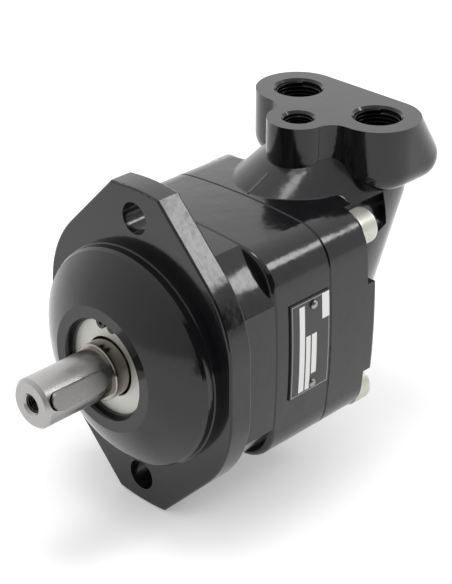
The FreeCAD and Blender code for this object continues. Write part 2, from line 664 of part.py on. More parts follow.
def seal_carrier():
    """Bright plate that closes the nose and holds the shaft seal."""
    groove_middle = (CARRIER_FRONT + CARRIER_BACK) / 2
    bore = SLEEVE_RADIUS + CARRIER_BORE_GAP
    plate = turned([(bore, CARRIER_FRONT), (CARRIER_RADIUS, CARRIER_FRONT), (CARRIER_RADIUS, CARRIER_BACK),
                    (SEAL_OUTER_RADIUS, CARRIER_BACK), (SEAL_OUTER_RADIUS, CARRIER_FRONT + CARRIER_WALL),
                    (bore, CARRIER_FRONT + CARRIER_WALL)])
    groove = disc(CARRIER_RADIUS + 1, groove_middle - O_RING_RADIUS, groove_middle + O_RING_RADIUS).cut(
        disc(CARRIER_RADIUS - 2 * O_RING_RADIUS, groove_middle - 2 * O_RING_RADIUS,
             groove_middle + 2 * O_RING_RADIUS))
    return plate.cut(groove)


def carrier_o_ring():
    """Rubber ring round the seal carrier."""
    return o_ring((CARRIER_FRONT + CARRIER_BACK) / 2, CARRIER_RADIUS - O_RING_RADIUS,
                  O_RING_RADIUS - ASSEMBLY_GAP)


def shaft_seal():
    """Lip seal pressed into the carrier, with its lip on the sleeve."""
    front = CARRIER_FRONT + CARRIER_WALL
    back = CARRIER_BACK
    lip = SLEEVE_RADIUS + BORE_CLEARANCE
    lip_end = front + 2 * SEAL_LIP_THICKNESS
    neck = lip + SEAL_LIP_THICKNESS
    return turned([(lip, front + SEAL_LIP_THICKNESS), (neck - 0.6, front), (SEAL_OUTER_RADIUS, front),
                   (SEAL_OUTER_RADIUS, back), (SEAL_OUTER_RADIUS - SEAL_CASE_WALL, back),
                   (SEAL_OUTER_RADIUS - SEAL_CASE_WALL, front + SEAL_CASE_WALL + 1),
                   (neck, front + SEAL_CASE_WALL + 1), (neck, lip_end), (lip + 0.7, lip_end)])


def circlip():
    """Spring ring that holds the carrier, with its two lugs at the top."""
    front = CIRCLIP_BACK - CIRCLIP_THICKNESS
    outer = RECESS_RADIUS + CIRCLIP_GROOVE_DEPTH - ASSEMBLY_GAP
    hole = disc(RECESS_RADIUS - CIRCLIP_WIDTH / 2, front - 1, CIRCLIP_BACK + 1)
    ring = disc(outer, front, CIRCLIP_BACK).cut(hole)
    lug_circle = RECESS_RADIUS - CIRCLIP_WIDTH / 2 - CIRCLIP_LUG_RADIUS / 2
    lugs = []
    holes = []
    for sign in (-1, 1):
        x = lug_circle * math.sin(math.radians(sign * CIRCLIP_LUG_ANGLE))
        z = lug_circle * math.cos(math.radians(CIRCLIP_LUG_ANGLE))
        lugs.append(disc(CIRCLIP_LUG_RADIUS, front, CIRCLIP_BACK, x, z))
        holes.append(disc(CIRCLIP_LUG_HOLE_RADIUS, front - 1, CIRCLIP_BACK + 1, x, z))
    gap = Part.makeBox(CIRCLIP_LUG_HOLE_RADIUS * 1.6, CIRCLIP_THICKNESS + 2, outer,
                       Vector(-CIRCLIP_LUG_HOLE_RADIUS * 0.8, front - 1, lug_circle / 2))
    return without(joined([ring] + lugs), holes + [gap])


class Bearing:
    """Tapered roller bearing. Its rollers open towards +Y or -Y from a common apex on the axis."""

    def __init__(self, bore, outer, width, roller, length, count, tilt, seat, opens):
        self.bore = bore
        self.outer = outer
        self.width = width
        self.roller = roller
        self.length = length
        self.count = count
        self.tilt = math.radians(tilt)
        self.seat = seat
        self.opens = opens
        self.pitch = (bore + outer) / 2
        self.slant = self.pitch / math.sin(self.tilt)
        self.half = math.asin(roller / self.slant)
        self.apex = width / 2 - self.slant * math.cos(self.tilt)

    def place(self, shape):
        """Moves a shape that starts at y = 0 and opens towards +Y to the bearing's seat."""
        moved = shape.copy()
        if self.opens < 0:
            moved = moved.mirror(DATUM, SHAFT_AXIS)
        moved.translate(Vector(0, self.seat, 0))
        return moved

    def raceway(self, along, angle):
        """Radius of a raceway cone at a place along the axis."""
        return (along - self.apex) * math.tan(angle)

    def roller_foot(self, slant):
        """Place along the axis of the inner edge of a roller's end."""
        return self.apex + slant * (math.cos(self.tilt) + math.tan(self.half) * math.sin(self.tilt))

    def cup(self):
        """Outer race, thick at its seat."""
        angle = self.tilt + self.half
        end = self.width * 0.88
        return self.place(turned([(self.raceway(0, angle), 0), (self.outer, 0), (self.outer, end),
                                  (self.raceway(end, angle), end)]))

    def cone(self):
        """Inner race with its two ribs."""
        angle = self.tilt - self.half
        small = self.roller_foot(self.slant - self.length / 2) - BEARING_END_GAP
        large = self.roller_foot(self.slant + self.length / 2) + BEARING_END_GAP
        low = self.raceway(small, angle)
        high = self.raceway(large, angle)
        lean = BEARING_RIB * math.tan(self.tilt)
        return self.place(turned([(self.bore, 0.5), (low + BEARING_RIB / 2, 0.5),
                                  (low + BEARING_RIB / 2, small - lean),
                                  (low, small), (high, large), (high + BEARING_RIB, large - lean),
                                  (high + BEARING_RIB, self.width), (self.bore, self.width)]))

    def roller_shape(self, clearance):
        """One tapered roller at twelve o'clock."""
        near = self.slant - self.length / 2
        far = self.slant + self.length / 2
        shape = Part.makeCone(near * math.tan(self.half) - clearance, far * math.tan(self.half) - clearance,
                              self.length, Vector(0, near, 0), SHAFT_AXIS)
        shape.rotate(DATUM, SIDE, math.degrees(self.tilt))
        shape.translate(Vector(0, self.apex, 0))
        return shape

    def rollers(self):
        """Every roller of the bearing."""
        shape = self.roller_shape(RUNNING_CLEARANCE)
        return self.place(Part.makeCompound([about_shaft(shape, 360 * step / self.count)
                                             for step in range(self.count)]))

    def cage(self):
        """Thin cone with one window for each roller."""
        near = self.slant - self.length / 2 - CAGE_RIM
        far = self.slant + self.length / 2 + CAGE_RIM
        normal = (CAGE_THICKNESS / 2 * math.cos(self.tilt), -CAGE_THICKNESS / 2 * math.sin(self.tilt))
        corners = []
        for slant, side in ((near, -1), (near, 1), (far, 1), (far, -1)):
            corners.append((slant * math.sin(self.tilt) + side * normal[0],
                            self.apex + slant * math.cos(self.tilt) + side * normal[1]))
        window = self.roller_shape(-CAGE_POCKET_GAP)
        windows = [about_shaft(window, 360 * step / self.count) for step in range(self.count)]
        return self.place(without(turned(corners), windows))


FRONT_BEARING = Bearing(FRONT_BEARING_BORE, FRONT_BEARING_OUTER, FRONT_BEARING_WIDTH, FRONT_ROLLER_RADIUS,
                        FRONT_ROLLER_LENGTH, FRONT_ROLLER_COUNT, FRONT_BEARING_TILT, FRONT_BEARING_SEAT, -1)
REAR_BEARING = Bearing(REAR_BEARING_BORE, REAR_BEARING_OUTER, REAR_BEARING_WIDTH, REAR_ROLLER_RADIUS,
                       REAR_ROLLER_LENGTH, REAR_ROLLER_COUNT, REAR_BEARING_TILT, REAR_BEARING_SEAT, 1)


def ball_places():
    """Phase, ball centre and bore-side head centre of each piston at rest."""
    places = []
    for number in range(PISTONS):
        phase = 2 * math.pi * number / PISTONS
        ball = Vector(BALL_CIRCLE_RADIUS * math.sin(phase), BEND_POINT, BALL_CIRCLE_RADIUS * math.cos(phase))
        head = ball.add(Vector(-PISTON_OFFSET * math.sin(phase),
                               -PISTON_OFFSET * math.cos(phase) * SINE + PISTON_REACH * COSINE,
                               PISTON_OFFSET * math.cos(phase) * COSINE + PISTON_REACH * SINE))
        places.append((ball, head))
    return places


def key_blank(start, top, growth):
    """Round-ended bar on the side of the shaft, from the keyway floor up to a height."""
    half = KEY_WIDTH / 2 + growth
    floor = SHAFT_RADIUS - KEY_SEAT_DEPTH
    first = start + KEY_WIDTH / 2
    last = KEY_TIP + KEY_LENGTH - KEY_WIDTH / 2
    bar = Part.makeBox(top - floor, last - first, 2 * half, Vector(floor, first, -half))
    ends = [Part.makeCylinder(half, top - floor, Vector(floor, place, 0), SIDE) for place in (first, last)]
    return about_shaft(joined([bar] + ends), -KEY_ANGLE)


def drive_shaft():
    """Keyed shaft with bearing seats and the driving flange that holds the ball sockets."""
    front_seat_end = FRONT_BEARING_SEAT + ASSEMBLY_GAP
    rear_end = REAR_BEARING_SEAT + REAR_BEARING_WIDTH
    shaft = turned([
        (0, SHAFT_END), (SHAFT_RADIUS - SHAFT_CHAMFER, SHAFT_END), (SHAFT_RADIUS, SHAFT_END + SHAFT_CHAMFER),
        (SHAFT_RADIUS, front_seat_end + 2), (SHAFT_MIDDLE_RADIUS, front_seat_end + 2),
        (SHAFT_MIDDLE_RADIUS, REAR_BEARING_SEAT - 2), (REAR_BEARING_BORE, REAR_BEARING_SEAT - 1),
        (REAR_BEARING_BORE, rear_end), (HUB_NECK_RADIUS, rear_end), (HUB_NECK_RADIUS, HUB_SHOULDER_START),
        (HUB_RADIUS + HUB_SHOULDER_STEP, HUB_SHOULDER_START),
        (HUB_RADIUS + HUB_SHOULDER_STEP, HUB_SHOULDER_START + HUB_SHOULDER_THICKNESS),
        (HUB_RADIUS, HUB_SHOULDER_START + HUB_SHOULDER_THICKNESS), (HUB_RADIUS, HUB_FACE), (0, HUB_FACE)])
    tools = [key_blank(KEYWAY_START, SHAFT_RADIUS + 1, KEYWAY_SIDE_GAP)]
    tools.append(disc(SHAFT_THREAD_HOLE_RADIUS, SHAFT_END - 1, SHAFT_END + SHAFT_THREAD_HOLE_DEPTH))
    sink = SHAFT_THREAD_HOLE_SINK
    tools.append(Part.makeCone(SHAFT_THREAD_HOLE_RADIUS + sink + 1, SHAFT_THREAD_HOLE_RADIUS, sink + 1,
                               Vector(0, SHAFT_END - 1, 0), SHAFT_AXIS))
    for ball, head in ball_places():
        tools.append(Part.makeSphere(BALL_RADIUS + RUNNING_CLEARANCE, ball))
        tools.append(disc(BALL_RING_RADIUS, BEND_POINT, HUB_FACE + 1, ball.x, ball.z))
    tools.append(Part.makeSphere(PIN_BALL_RADIUS + RUNNING_CLEARANCE, Vector(0, BEND_POINT, 0)))
    tools.append(disc(DISH_RADIUS, BEND_POINT, HUB_FACE + 1))
    return without(shaft, tools)


def shaft_key():
    """Parallel key with round ends."""
    return key_blank(KEY_TIP, SHAFT_RADIUS - KEY_SEAT_DEPTH + KEY_HEIGHT, 0)


def seal_sleeve():
    """Polished sleeve that the seal lip runs on."""
    back = FRONT_BEARING_SEAT - FRONT_BEARING_WIDTH - NUT_WIDTH
    return turned([(SHAFT_RADIUS, SLEEVE_FRONT), (SLEEVE_RADIUS - SLEEVE_CHAMFER, SLEEVE_FRONT),
                   (SLEEVE_RADIUS, SLEEVE_FRONT + SLEEVE_CHAMFER), (SLEEVE_RADIUS, back),
                   (SHAFT_RADIUS, back)])


def bearing_nut():
    """Slotted nut that sets the bearings."""
    back = FRONT_BEARING_SEAT - FRONT_BEARING_WIDTH
    front = back - NUT_WIDTH
    nut = disc(NUT_RADIUS, front, back).cut(disc(SHAFT_RADIUS, front - 1, back + 1))
    slot = Part.makeBox(NUT_SLOT_WIDTH, NUT_WIDTH + 2, 2 * NUT_SLOT_DEPTH,
                        Vector(-NUT_SLOT_WIDTH / 2, front - 1, NUT_RADIUS - NUT_SLOT_DEPTH))
    return without(nut, [about_shaft(slot, 360 * step / NUT_SLOTS) for step in range(NUT_SLOTS)])


def bearing_spacer():
    """Ground ring between the front bearing and the shoulder of the shaft."""
    front = FRONT_BEARING_SEAT - 0.5
    back = FRONT_BEARING_SEAT + ASSEMBLY_GAP + 2
    return disc(SPACER_RADIUS, front, back).cut(disc(SHAFT_RADIUS, front - 1, back + 1))


def gear_point(radius, height, across):
    """Point of a bevel tooth at a radius, with its height and half width scaled towards the apex.

    The gear stands on the axis with its apex at the datum and opens towards +Y. Heights are measured
    square to the pitch cone, towards the apex side, at the mean radius of the teeth.
    """
    scale = radius / ((GEAR_INNER_RADIUS + GEAR_OUTER_RADIUS) / 2)
    along = radius / math.tan(PITCH_CONE)
    rise = height * scale
    return Vector(across * scale, along - rise * math.sin(PITCH_CONE), radius + rise * math.cos(PITCH_CONE))


def bevel_teeth(phase):
    """Straight bevel teeth round an axis through their apex, a phase of 0 puts a tooth at the top."""
    mean = (GEAR_INNER_RADIUS + GEAR_OUTER_RADIUS) / 2
    half_pitch = math.pi * mean / GEAR_TEETH / 2
    slope = math.tan(math.radians(GEAR_FLANK_ANGLE))
    root_depth = GEAR_DEDENDUM + 1.0
    tip_half = half_pitch - GEAR_BACKLASH / 4 - GEAR_ADDENDUM * slope
    root_half = half_pitch - GEAR_BACKLASH / 4 + root_depth * slope
    ends = []
    for radius in (GEAR_INNER_RADIUS, GEAR_OUTER_RADIUS):
        corners = [gear_point(radius, -root_depth, -root_half), gear_point(radius, GEAR_ADDENDUM, -tip_half),
                   gear_point(radius, GEAR_ADDENDUM, tip_half), gear_point(radius, -root_depth, root_half)]
        ends.append(Part.makePolygon(corners + corners[:1]))
    tooth = Part.makeLoft(ends, True, True)
    return [about_shaft(tooth, 360 * (step + phase) / GEAR_TEETH) for step in range(GEAR_TEETH)]


def gear_rim(back, bore):
    """Ring behind the teeth, from its root cone to a flat back."""
    inner = gear_point(GEAR_INNER_RADIUS, -GEAR_DEDENDUM, 0)
    outer = gear_point(GEAR_OUTER_RADIUS, -GEAR_DEDENDUM, 0)
    return turned([(bore, inner.y), (inner.z, inner.y), (outer.z, outer.y), (outer.z, back), (bore, back)])


def ring_gear():
    """Timing gear on the driving flange, its teeth face the barrel."""
    back = BEND_POINT - HUB_SHOULDER_START - HUB_SHOULDER_THICKNESS
    rim = gear_rim(back, HUB_RADIUS)
    gear = joined([rim] + bevel_teeth(0))
    gear = gear.mirror(DATUM, SHAFT_AXIS)
    gear.translate(Vector(0, BEND_POINT, 0))
    return gear


def barrel_gear():
    """Timing gear pressed on the front of the barrel, in mesh with the ring gear."""
    back = BARREL_FRONT + BARREL_GEAR_GRIP
    rim = gear_rim(back, BARREL_RADIUS)
    return on_barrel_axis(joined([rim] + bevel_teeth(0.5)))


def piston(ball, head):
    """Piston with its ball, tapered rod and round head with a ring groove, made along +Y first."""
    ring_half = PISTON_RING_WIDTH / 2 + ASSEMBLY_GAP
    rod = turned([(0, 0), (PISTON_NECK_RADIUS, 0), (PISTON_NECK_RADIUS, BALL_RADIUS),
                  (PISTON_WAIST_RADIUS, PISTON_WAIST_PLACE), (PISTON_ROD_RADIUS, PISTON_ROD_END),
                  (PISTON_ROD_RADIUS, PISTON_LENGTH), (0, PISTON_LENGTH)])
    crown = Part.makeSphere(PISTON_HEAD_RADIUS, Vector(0, PISTON_LENGTH, 0)).common(
        disc(PISTON_HEAD_RADIUS + 1, 0, PISTON_LENGTH + PISTON_HEAD_CROWN))
    body = joined([Part.makeSphere(BALL_RADIUS), rod, crown])
    groove = disc(PISTON_HEAD_RADIUS + 1, PISTON_LENGTH - ring_half, PISTON_LENGTH + ring_half).cut(
        disc(PISTON_RING_SEAT_RADIUS, PISTON_LENGTH - 2 * ring_half, PISTON_LENGTH + 2 * ring_half))
    return aimed(body.cut(groove), ball, head)


def piston_ring(ball, head):
    """Ring with a round face that seals the head in its bore."""
    half = PISTON_RING_WIDTH / 2
    face = Part.makeSphere(CYLINDER_BORE_RADIUS - BORE_CLEARANCE, Vector(0, PISTON_LENGTH, 0))
    ring = face.common(disc(CYLINDER_BORE_RADIUS + 1, PISTON_LENGTH - half, PISTON_LENGTH + half))
    bore = disc(PISTON_RING_SEAT_RADIUS + ASSEMBLY_GAP, PISTON_LENGTH - 2 * half, PISTON_LENGTH + 2 * half)
    return aimed(ring.cut(bore), ball, head)


def aimed(shape, ball, head):
    """Moves a piece from the shaft axis at the datum onto the line from a ball to its head."""
    moved = shape.copy()
    turn = Rotation(SHAFT_AXIS, head.sub(ball))
    moved.Placement = Placement(ball, turn).multiply(moved.Placement)
    return moved


def ball_ring(ball):
    """Ring that keeps a piston ball in its socket and turns freely in the driving flange."""
    outer = disc(BALL_RING_RADIUS - RUNNING_CLEARANCE, BEND_POINT + ASSEMBLY_GAP, HUB_FACE, ball.x, ball.z)
    return outer.cut(Part.makeSphere(BALL_RADIUS + RUNNING_CLEARANCE, ball))


def cylinder_barrel():
    """Barrel with a bore for each piston, a centre bore and a port behind each piston."""
    body = disc(BARREL_RADIUS, BARREL_FRONT, BARREL_BACK)
    tools = []
    for number in range(PISTONS):
        phase = 2 * math.pi * number / PISTONS
        x = BORE_CIRCLE_RADIUS * math.sin(phase)
        z = BORE_CIRCLE_RADIUS * math.cos(phase)
        floor = BARREL_BACK - CYLINDER_END_WALL
        mouth = CYLINDER_MOUTH_CHAMFER
        tools.append(disc(CYLINDER_BORE_RADIUS, BARREL_FRONT - 1, floor, x, z))
        tools.append(Part.makeCone(CYLINDER_BORE_RADIUS + mouth + 1, CYLINDER_BORE_RADIUS, mouth + 1,
                                   Vector(x, BARREL_FRONT - 1, z), SHAFT_AXIS))
        tools.append(disc(CYLINDER_PORT_RADIUS, floor - 1, BARREL_BACK + 1, x, z))
    tools.append(disc(PIN_GUIDE_RADIUS, BARREL_FRONT - 1, BARREL_FRONT + CENTRE_BORE_DEPTH))
    return on_barrel_axis(without(body, tools))


def centre_pin():
    """Pin that centres the barrel on a ball at the bend point."""
    guide_end = PIN_GUIDE_START + PIN_GUIDE_LENGTH
    guide = PIN_GUIDE_RADIUS - ASSEMBLY_GAP
    rod = turned([(0, 0), (PIN_ROD_RADIUS, 0), (PIN_ROD_RADIUS, PIN_GUIDE_START), (guide, PIN_GUIDE_START),
                  (guide, guide_end), (PIN_TAIL_RADIUS, guide_end),
                  (PIN_TAIL_RADIUS, guide_end + PIN_TAIL_LENGTH),
                  (0, guide_end + PIN_TAIL_LENGTH)])
    return on_barrel_axis(joined([Part.makeSphere(PIN_BALL_RADIUS), rod]))


def spring_span():
    """Start and end of the coil spring along the barrel axis."""
    start = PIN_GUIDE_START + PIN_GUIDE_LENGTH + SPRING_WASHER_THICKNESS
    end = BARREL_FRONT + CENTRE_BORE_DEPTH - SPRING_WASHER_THICKNESS
    return start, end


def barrel_spring():
    """Coil spring that presses the barrel on the valve plate."""
    start, end = spring_span()
    half = SPRING_WIRE / 2
    rise = end - start - SPRING_WIRE - 2 * ASSEMBLY_GAP
    helix = Part.makeHelix(rise / SPRING_TURNS, rise, SPRING_COIL_RADIUS)
    corners = [Vector(SPRING_COIL_RADIUS + x, 0, z)
               for x, z in ((-half, -half), (half, -half), (half, half), (-half, half))]
    section = Part.makePolygon(corners + corners[:1])
    coil = Part.Wire(helix.Edges).makePipeShell([section], True, True)
    coil.rotate(DATUM, SIDE, -90)
    coil.translate(Vector(0, start + half + ASSEMBLY_GAP, 0))
    return on_barrel_axis(coil)


def spring_washers():
    """Flat washers at both ends of the coil spring."""
    start, end = spring_span()
    washers = []
    for front in (start - SPRING_WASHER_THICKNESS, end):
        washer = disc(PIN_GUIDE_RADIUS - 0.1, front, front + SPRING_WASHER_THICKNESS).cut(
            disc(PIN_TAIL_RADIUS + 0.1, front - 1, front + SPRING_WASHER_THICKNESS + 1))
        washers.append(washer)
    return on_barrel_axis(Part.makeCompound(washers))


def valve_plate():
    """Fixed plate with two curved slots that the barrel turns on."""
    front = BARREL_BACK + RUNNING_CLEARANCE
    plate = disc(VALVE_PLATE_RADIUS, front, VALVE_SEAT)
    tools = [kidney(sign, front - 1, VALVE_SEAT + 1, KIDNEY_HALF_WIDTH) for sign in (-1, 1)]
    tools.append(disc(VALVE_PIN_RADIUS, VALVE_SEAT - VALVE_PIN_LENGTH / 2, VALVE_SEAT + 1,
                      0, VALVE_PIN_PLACE))
    return on_barrel_axis(without(plate, tools))


def valve_plate_pin():
    """Dowel that stops the valve plate from turning."""
    half = VALVE_PIN_LENGTH / 2 - ASSEMBLY_GAP
    return on_barrel_axis(disc(VALVE_PIN_RADIUS - ASSEMBLY_GAP / 2, VALVE_SEAT - half, VALVE_SEAT + half, 0,
                               VALVE_PIN_PLACE))


def rivet_places():
    """Heights of the two rivets on the data plate."""
    return [PLATE_MIDDLE_Z - PLATE_RIVET_SPACING / 2, PLATE_MIDDLE_Z + PLATE_RIVET_SPACING / 2]


def rivet_holes():
    """Blind holes for the rivets of the data plate."""
    depth = BLOCK_HALF - PLATE_RIVET_DEPTH
    return [Part.makeCylinder(PLATE_RIVET_SHANK, 2 * PLATE_RIVET_DEPTH,
                              Vector(depth, PLATE_RIVET_Y, z), SIDE)
            for z in rivet_places()]


def data_plate():
    """Thin metal plate that follows the crowned side of the block."""
    skin = block(PLATE_MIDDLE_Y - PLATE_WIDTH / 2, PLATE_MIDDLE_Y + PLATE_WIDTH / 2, PLATE_THICKNESS).cut(
        block(PLATE_MIDDLE_Y - PLATE_WIDTH, PLATE_MIDDLE_Y + PLATE_WIDTH))
    window = Part.makeBox(BLOCK_HALF, PLATE_WIDTH, PLATE_HEIGHT,
                          Vector(BLOCK_HALF / 2, PLATE_MIDDLE_Y - PLATE_WIDTH / 2,
                                 PLATE_MIDDLE_Z - PLATE_HEIGHT / 2))
    return without(skin.common(window), rivet_holes())


def plate_rivets():
    """Two drive rivets with domed heads."""
    rivets = []
    seat = BLOCK_HALF + PLATE_THICKNESS
    for z in rivet_places():
        dome = Part.makeSphere((PLATE_RIVET_RADIUS ** 2 + PLATE_RIVET_CROWN ** 2) / (2 * PLATE_RIVET_CROWN))
        sink = dome.BoundBox.XMax - PLATE_RIVET_CROWN
        width = 4 * PLATE_RIVET_RADIUS
        dome = dome.common(Part.makeBox(PLATE_RIVET_CROWN + 1, width, width,
                                        Vector(sink, -width / 2, -width / 2)))
        dome.translate(Vector(seat - sink, PLATE_RIVET_Y, z))
        shank = Part.makeCylinder(PLATE_RIVET_SHANK - ASSEMBLY_GAP, PLATE_RIVET_DEPTH,
                                  Vector(seat - PLATE_RIVET_DEPTH + 0.1, PLATE_RIVET_Y, z), SIDE)
        rivets.append(joined([dome, shank]))
    return Part.makeCompound(rivets)


def build_all():
    """Every piece of the pump by name."""
    pieces = {
        "bearing_housing": bearing_housing(),
        "barrel_housing": barrel_housing(),
        "housing_screws": housing_screws(),
        "housing_o_ring": housing_o_ring(),
        "seal_carrier": seal_carrier(),
        "carrier_o_ring": carrier_o_ring(),
        "shaft_seal": shaft_seal(),
        "circlip": circlip(),
        "data_plate": data_plate(),
        "plate_rivets": plate_rivets(),
        "drive_shaft": drive_shaft(),
        "shaft_key": shaft_key(),
        "seal_sleeve": seal_sleeve(),
        "bearing_nut": bearing_nut(),
        "bearing_spacer": bearing_spacer(),
        "ring_gear": ring_gear(),
        "cylinder_barrel": cylinder_barrel(),
        "barrel_gear": barrel_gear(),
        "centre_pin": centre_pin(),
        "barrel_spring": barrel_spring(),
        "spring_washers": spring_washers(),
        "valve_plate": valve_plate(),
        "valve_plate_pin": valve_plate_pin(),
    }
    for name, bearing in (("front", FRONT_BEARING), ("rear", REAR_BEARING)):
        pieces[name + "_bearing_cup"] = bearing.cup()
        pieces[name + "_bearing_cone"] = bearing.cone()
        pieces[name + "_bearing_rollers"] = bearing.rollers()
        pieces[name + "_bearing_cage"] = bearing.cage()
    for number, (ball, head) in enumerate(ball_places(), start=1):
        pieces["piston_%d" % number] = piston(ball, head)
        pieces["piston_ring_%d" % number] = piston_ring(ball, head)
        pieces["ball_ring_%d" % number] = ball_ring(ball)
    return pieces


os.makedirs("parts", exist_ok=True)
for node, shape in build_all().items():
    shape.exportStep("parts/" + node + ".step")
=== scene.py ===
import json
import math

import bmesh
import bpy
from mathutils import Euler, Matrix, Vector


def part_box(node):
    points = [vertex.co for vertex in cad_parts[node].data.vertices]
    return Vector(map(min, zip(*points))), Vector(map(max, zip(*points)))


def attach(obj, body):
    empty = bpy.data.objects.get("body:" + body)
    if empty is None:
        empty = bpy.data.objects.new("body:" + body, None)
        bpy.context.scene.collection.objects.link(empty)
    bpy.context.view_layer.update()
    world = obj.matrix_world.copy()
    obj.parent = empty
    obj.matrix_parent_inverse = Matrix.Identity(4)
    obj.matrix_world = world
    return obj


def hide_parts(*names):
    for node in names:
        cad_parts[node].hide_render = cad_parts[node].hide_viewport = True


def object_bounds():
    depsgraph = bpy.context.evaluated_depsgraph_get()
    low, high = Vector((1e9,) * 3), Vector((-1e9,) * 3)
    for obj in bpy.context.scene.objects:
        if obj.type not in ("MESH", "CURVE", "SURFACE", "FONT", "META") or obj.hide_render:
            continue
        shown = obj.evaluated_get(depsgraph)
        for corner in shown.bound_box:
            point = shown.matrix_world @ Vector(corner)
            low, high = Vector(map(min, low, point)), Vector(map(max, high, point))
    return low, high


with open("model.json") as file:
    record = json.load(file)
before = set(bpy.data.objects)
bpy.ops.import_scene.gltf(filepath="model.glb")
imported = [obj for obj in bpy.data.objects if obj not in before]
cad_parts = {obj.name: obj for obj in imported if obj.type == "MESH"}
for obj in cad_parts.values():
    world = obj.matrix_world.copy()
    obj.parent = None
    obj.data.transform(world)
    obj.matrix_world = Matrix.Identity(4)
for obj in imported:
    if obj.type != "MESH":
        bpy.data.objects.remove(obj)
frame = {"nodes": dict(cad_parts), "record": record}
cad_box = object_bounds()

# Lengths on the pump are in millimetres, and MM turns them to metres. The drive shaft lies on the
# Y axis and its free end points to -Y, +Z is up, and the data plate is on the +X side.
MM = 0.001

# Camera: place in millimetres, and its turn in degrees
CAMERA_PLACE = (459.2, -412.2, 364.6)
CAMERA_AZIMUTH = 44.64
CAMERA_ELEVATION = 28.6
CAMERA_LENS = 104.65
CAMERA_SENSOR = 36.0

# Studio, in metres and degrees, round the point that its lamps are aimed at: radiance of the white
# room as its fill on the pump, and as mirrors see it at its darkest and brightest, and the azimuth
# where it is brightest
LIT_POINT = Vector((0, 50, 0)) * MM
ROOM_FILL = 0.9
ROOM_DARK = 0.5
ROOM_BRIGHT = 1.4
ROOM_BRIGHT_AZIMUTH = -50.0
# Radiance that the eye and mirrors see on the paper beyond what the lamps give it
PAPER_LIFT = 0.22
FLOOR_HALF = 2.0
FLOOR_GAP = 0.2 * MM
# Curved flag: its distance, its lower edge as (azimuth, elevation), and the elevation of its upper
# edge
FLAG_DISTANCE = 0.5
FLAG_LOW = ((58, 5), (68, 5), (78, 5), (88, 3), (98, -2), (108, -13), (118, -14), (128, -14),
            (138, -14), (148, -14))
FLAG_HIGH = 36.0

# Barrel axis, which rises from the bend point on the shaft axis
BEND_POINT = 76.0
BEND_ANGLE = 40.0

# Block of the housings: half width over its crowned sides, and the radius of their crown
BLOCK_HALF = 51.5
CROWN_RADIUS = 370.0
# Points of a solid's mesh that lie closer than this are one
GRID = 0.001

# Threads: pitch and height of the pipe threads in the ports and of the screw thread in the shaft,
# and the widths of a ridge at root and crest as shares of the pitch
PORT_PITCH = 1.814
PORT_THREAD_HEIGHT = 1.16
DRAIN_PITCH = 1.337
DRAIN_THREAD_HEIGHT = 0.86
SHAFT_PITCH = 1.25
SHAFT_THREAD_HEIGHT = 0.68
THREAD_ROOT_SHARE = 0.86
THREAD_CREST_SHARE = 0.14
THREAD_SINK = 0.05
THREAD_STEPS = 96

# Grip ridges round the screw heads
HEAD_RADIUS = 8.0
HEAD_HEIGHT = 10.0
GRIP_LENGTH = 7.2
GRIP_RIDGES = 60
GRIP_RIDGE_SIDES = 6
GRIP_RIDGE_RADIUS = 0.22
GRIP_RIDGE_SINK = 0.08

# Flash left by the mould joint along the top of the bent casing, from the block to the drain boss:
# a rod sunk in the skin, whose line is dropped on the skin from a height
FLASH_RADIUS = 1.2
FLASH_SINK = 0.85
FLASH_SIDES = 12
FLASH_START = (0, 66.5, 50.7)
FLASH_END = (0, 79.0, 59.2)
FLASH_POINTS = 40
FLASH_DROP_HEIGHT = 10.0
FLASH_DROP_REACH = 30.0

# Enamel: sizes, depths and radii of what shows in it. A share of the cells has a speck, and each
# speck is full within a core of its radius.
PEEL_SIZE = 2.2
PEEL_DEPTH = 0.06
SWELL_SIZE = 11.0
SWELL_DEPTH = 0.40
PIN_HOLE_SPACING = 9.0
PIN_HOLE_RADIUS = 0.28
PIN_HOLE_DEPTH = 0.12
DUST_SPACING = 23.0
DUST_RADIUS = 0.3
SPECK_SHARE = 0.5
SPECK_CORE = 0.6
# Strength of the swell on machined faces, and what the cast skin adds to it
MACHINED_SWELL = 0.10
CAST_SWELL = 0.36
# Faces machined before painting: up to the flange face, and the port faces above the cast block
TURNED_BACK = 0.3
MILLED_TOP = 69.7

# Bare finishes, ground and grained: patches in which the colour drifts, and how far the roughness
# strays from its mean
GROUND_CLOUD = 6.0
GROUND_STRAY = 0.15
GRAINED_CLOUD = 7.0
GRAINED_STRAY = 0.10
# Radians that a wave texture draws to a unit of its scale
WAVE_RADIANS = 20
# Levels between which most of a noise texture lies
NOISE_RANGE = {"From Min": 0.3, "From Max": 0.7}

# Print on the data plate: fields as (left, right, top, bottom) from the plate's front upper corner,
# and a line round the rim that is a share as pale as they are
PLATE_FIELDS = (
    (5.1, 8.3, 2.3, 43.4),
    (9.1, 11.8, 17.3, 43.4),
    (12.6, 15.7, 17.3, 36.6),
    (19.1, 23.5, 0.6, 12.4),
)
PLATE_LINE_INSET = 0.6
PLATE_LINE_WIDTH = 0.4
PLATE_LINE_SHARE = 0.35
PLATE_GRAIN = 0.5

# Paper fibres and cloth threads of the studio, drawn coarser than real so that they show
PAPER_GRAIN = 4.0
CLOTH_WEAVE = 3.0


def linear(code):
    """Linear colour of an sRGB hex code."""
    levels = [int(code[place:place + 2], 16) / 255 for place in (1, 3, 5)]
    return tuple(level / 12.92 if level <= 0.04045 else ((level + 0.055) / 1.055) ** 2.4
                 for level in levels) + (1.0,)


def per_size(millimetres):
    """Texture scale at which one cell of a pattern has this size."""
    return 1 / (millimetres * MM)


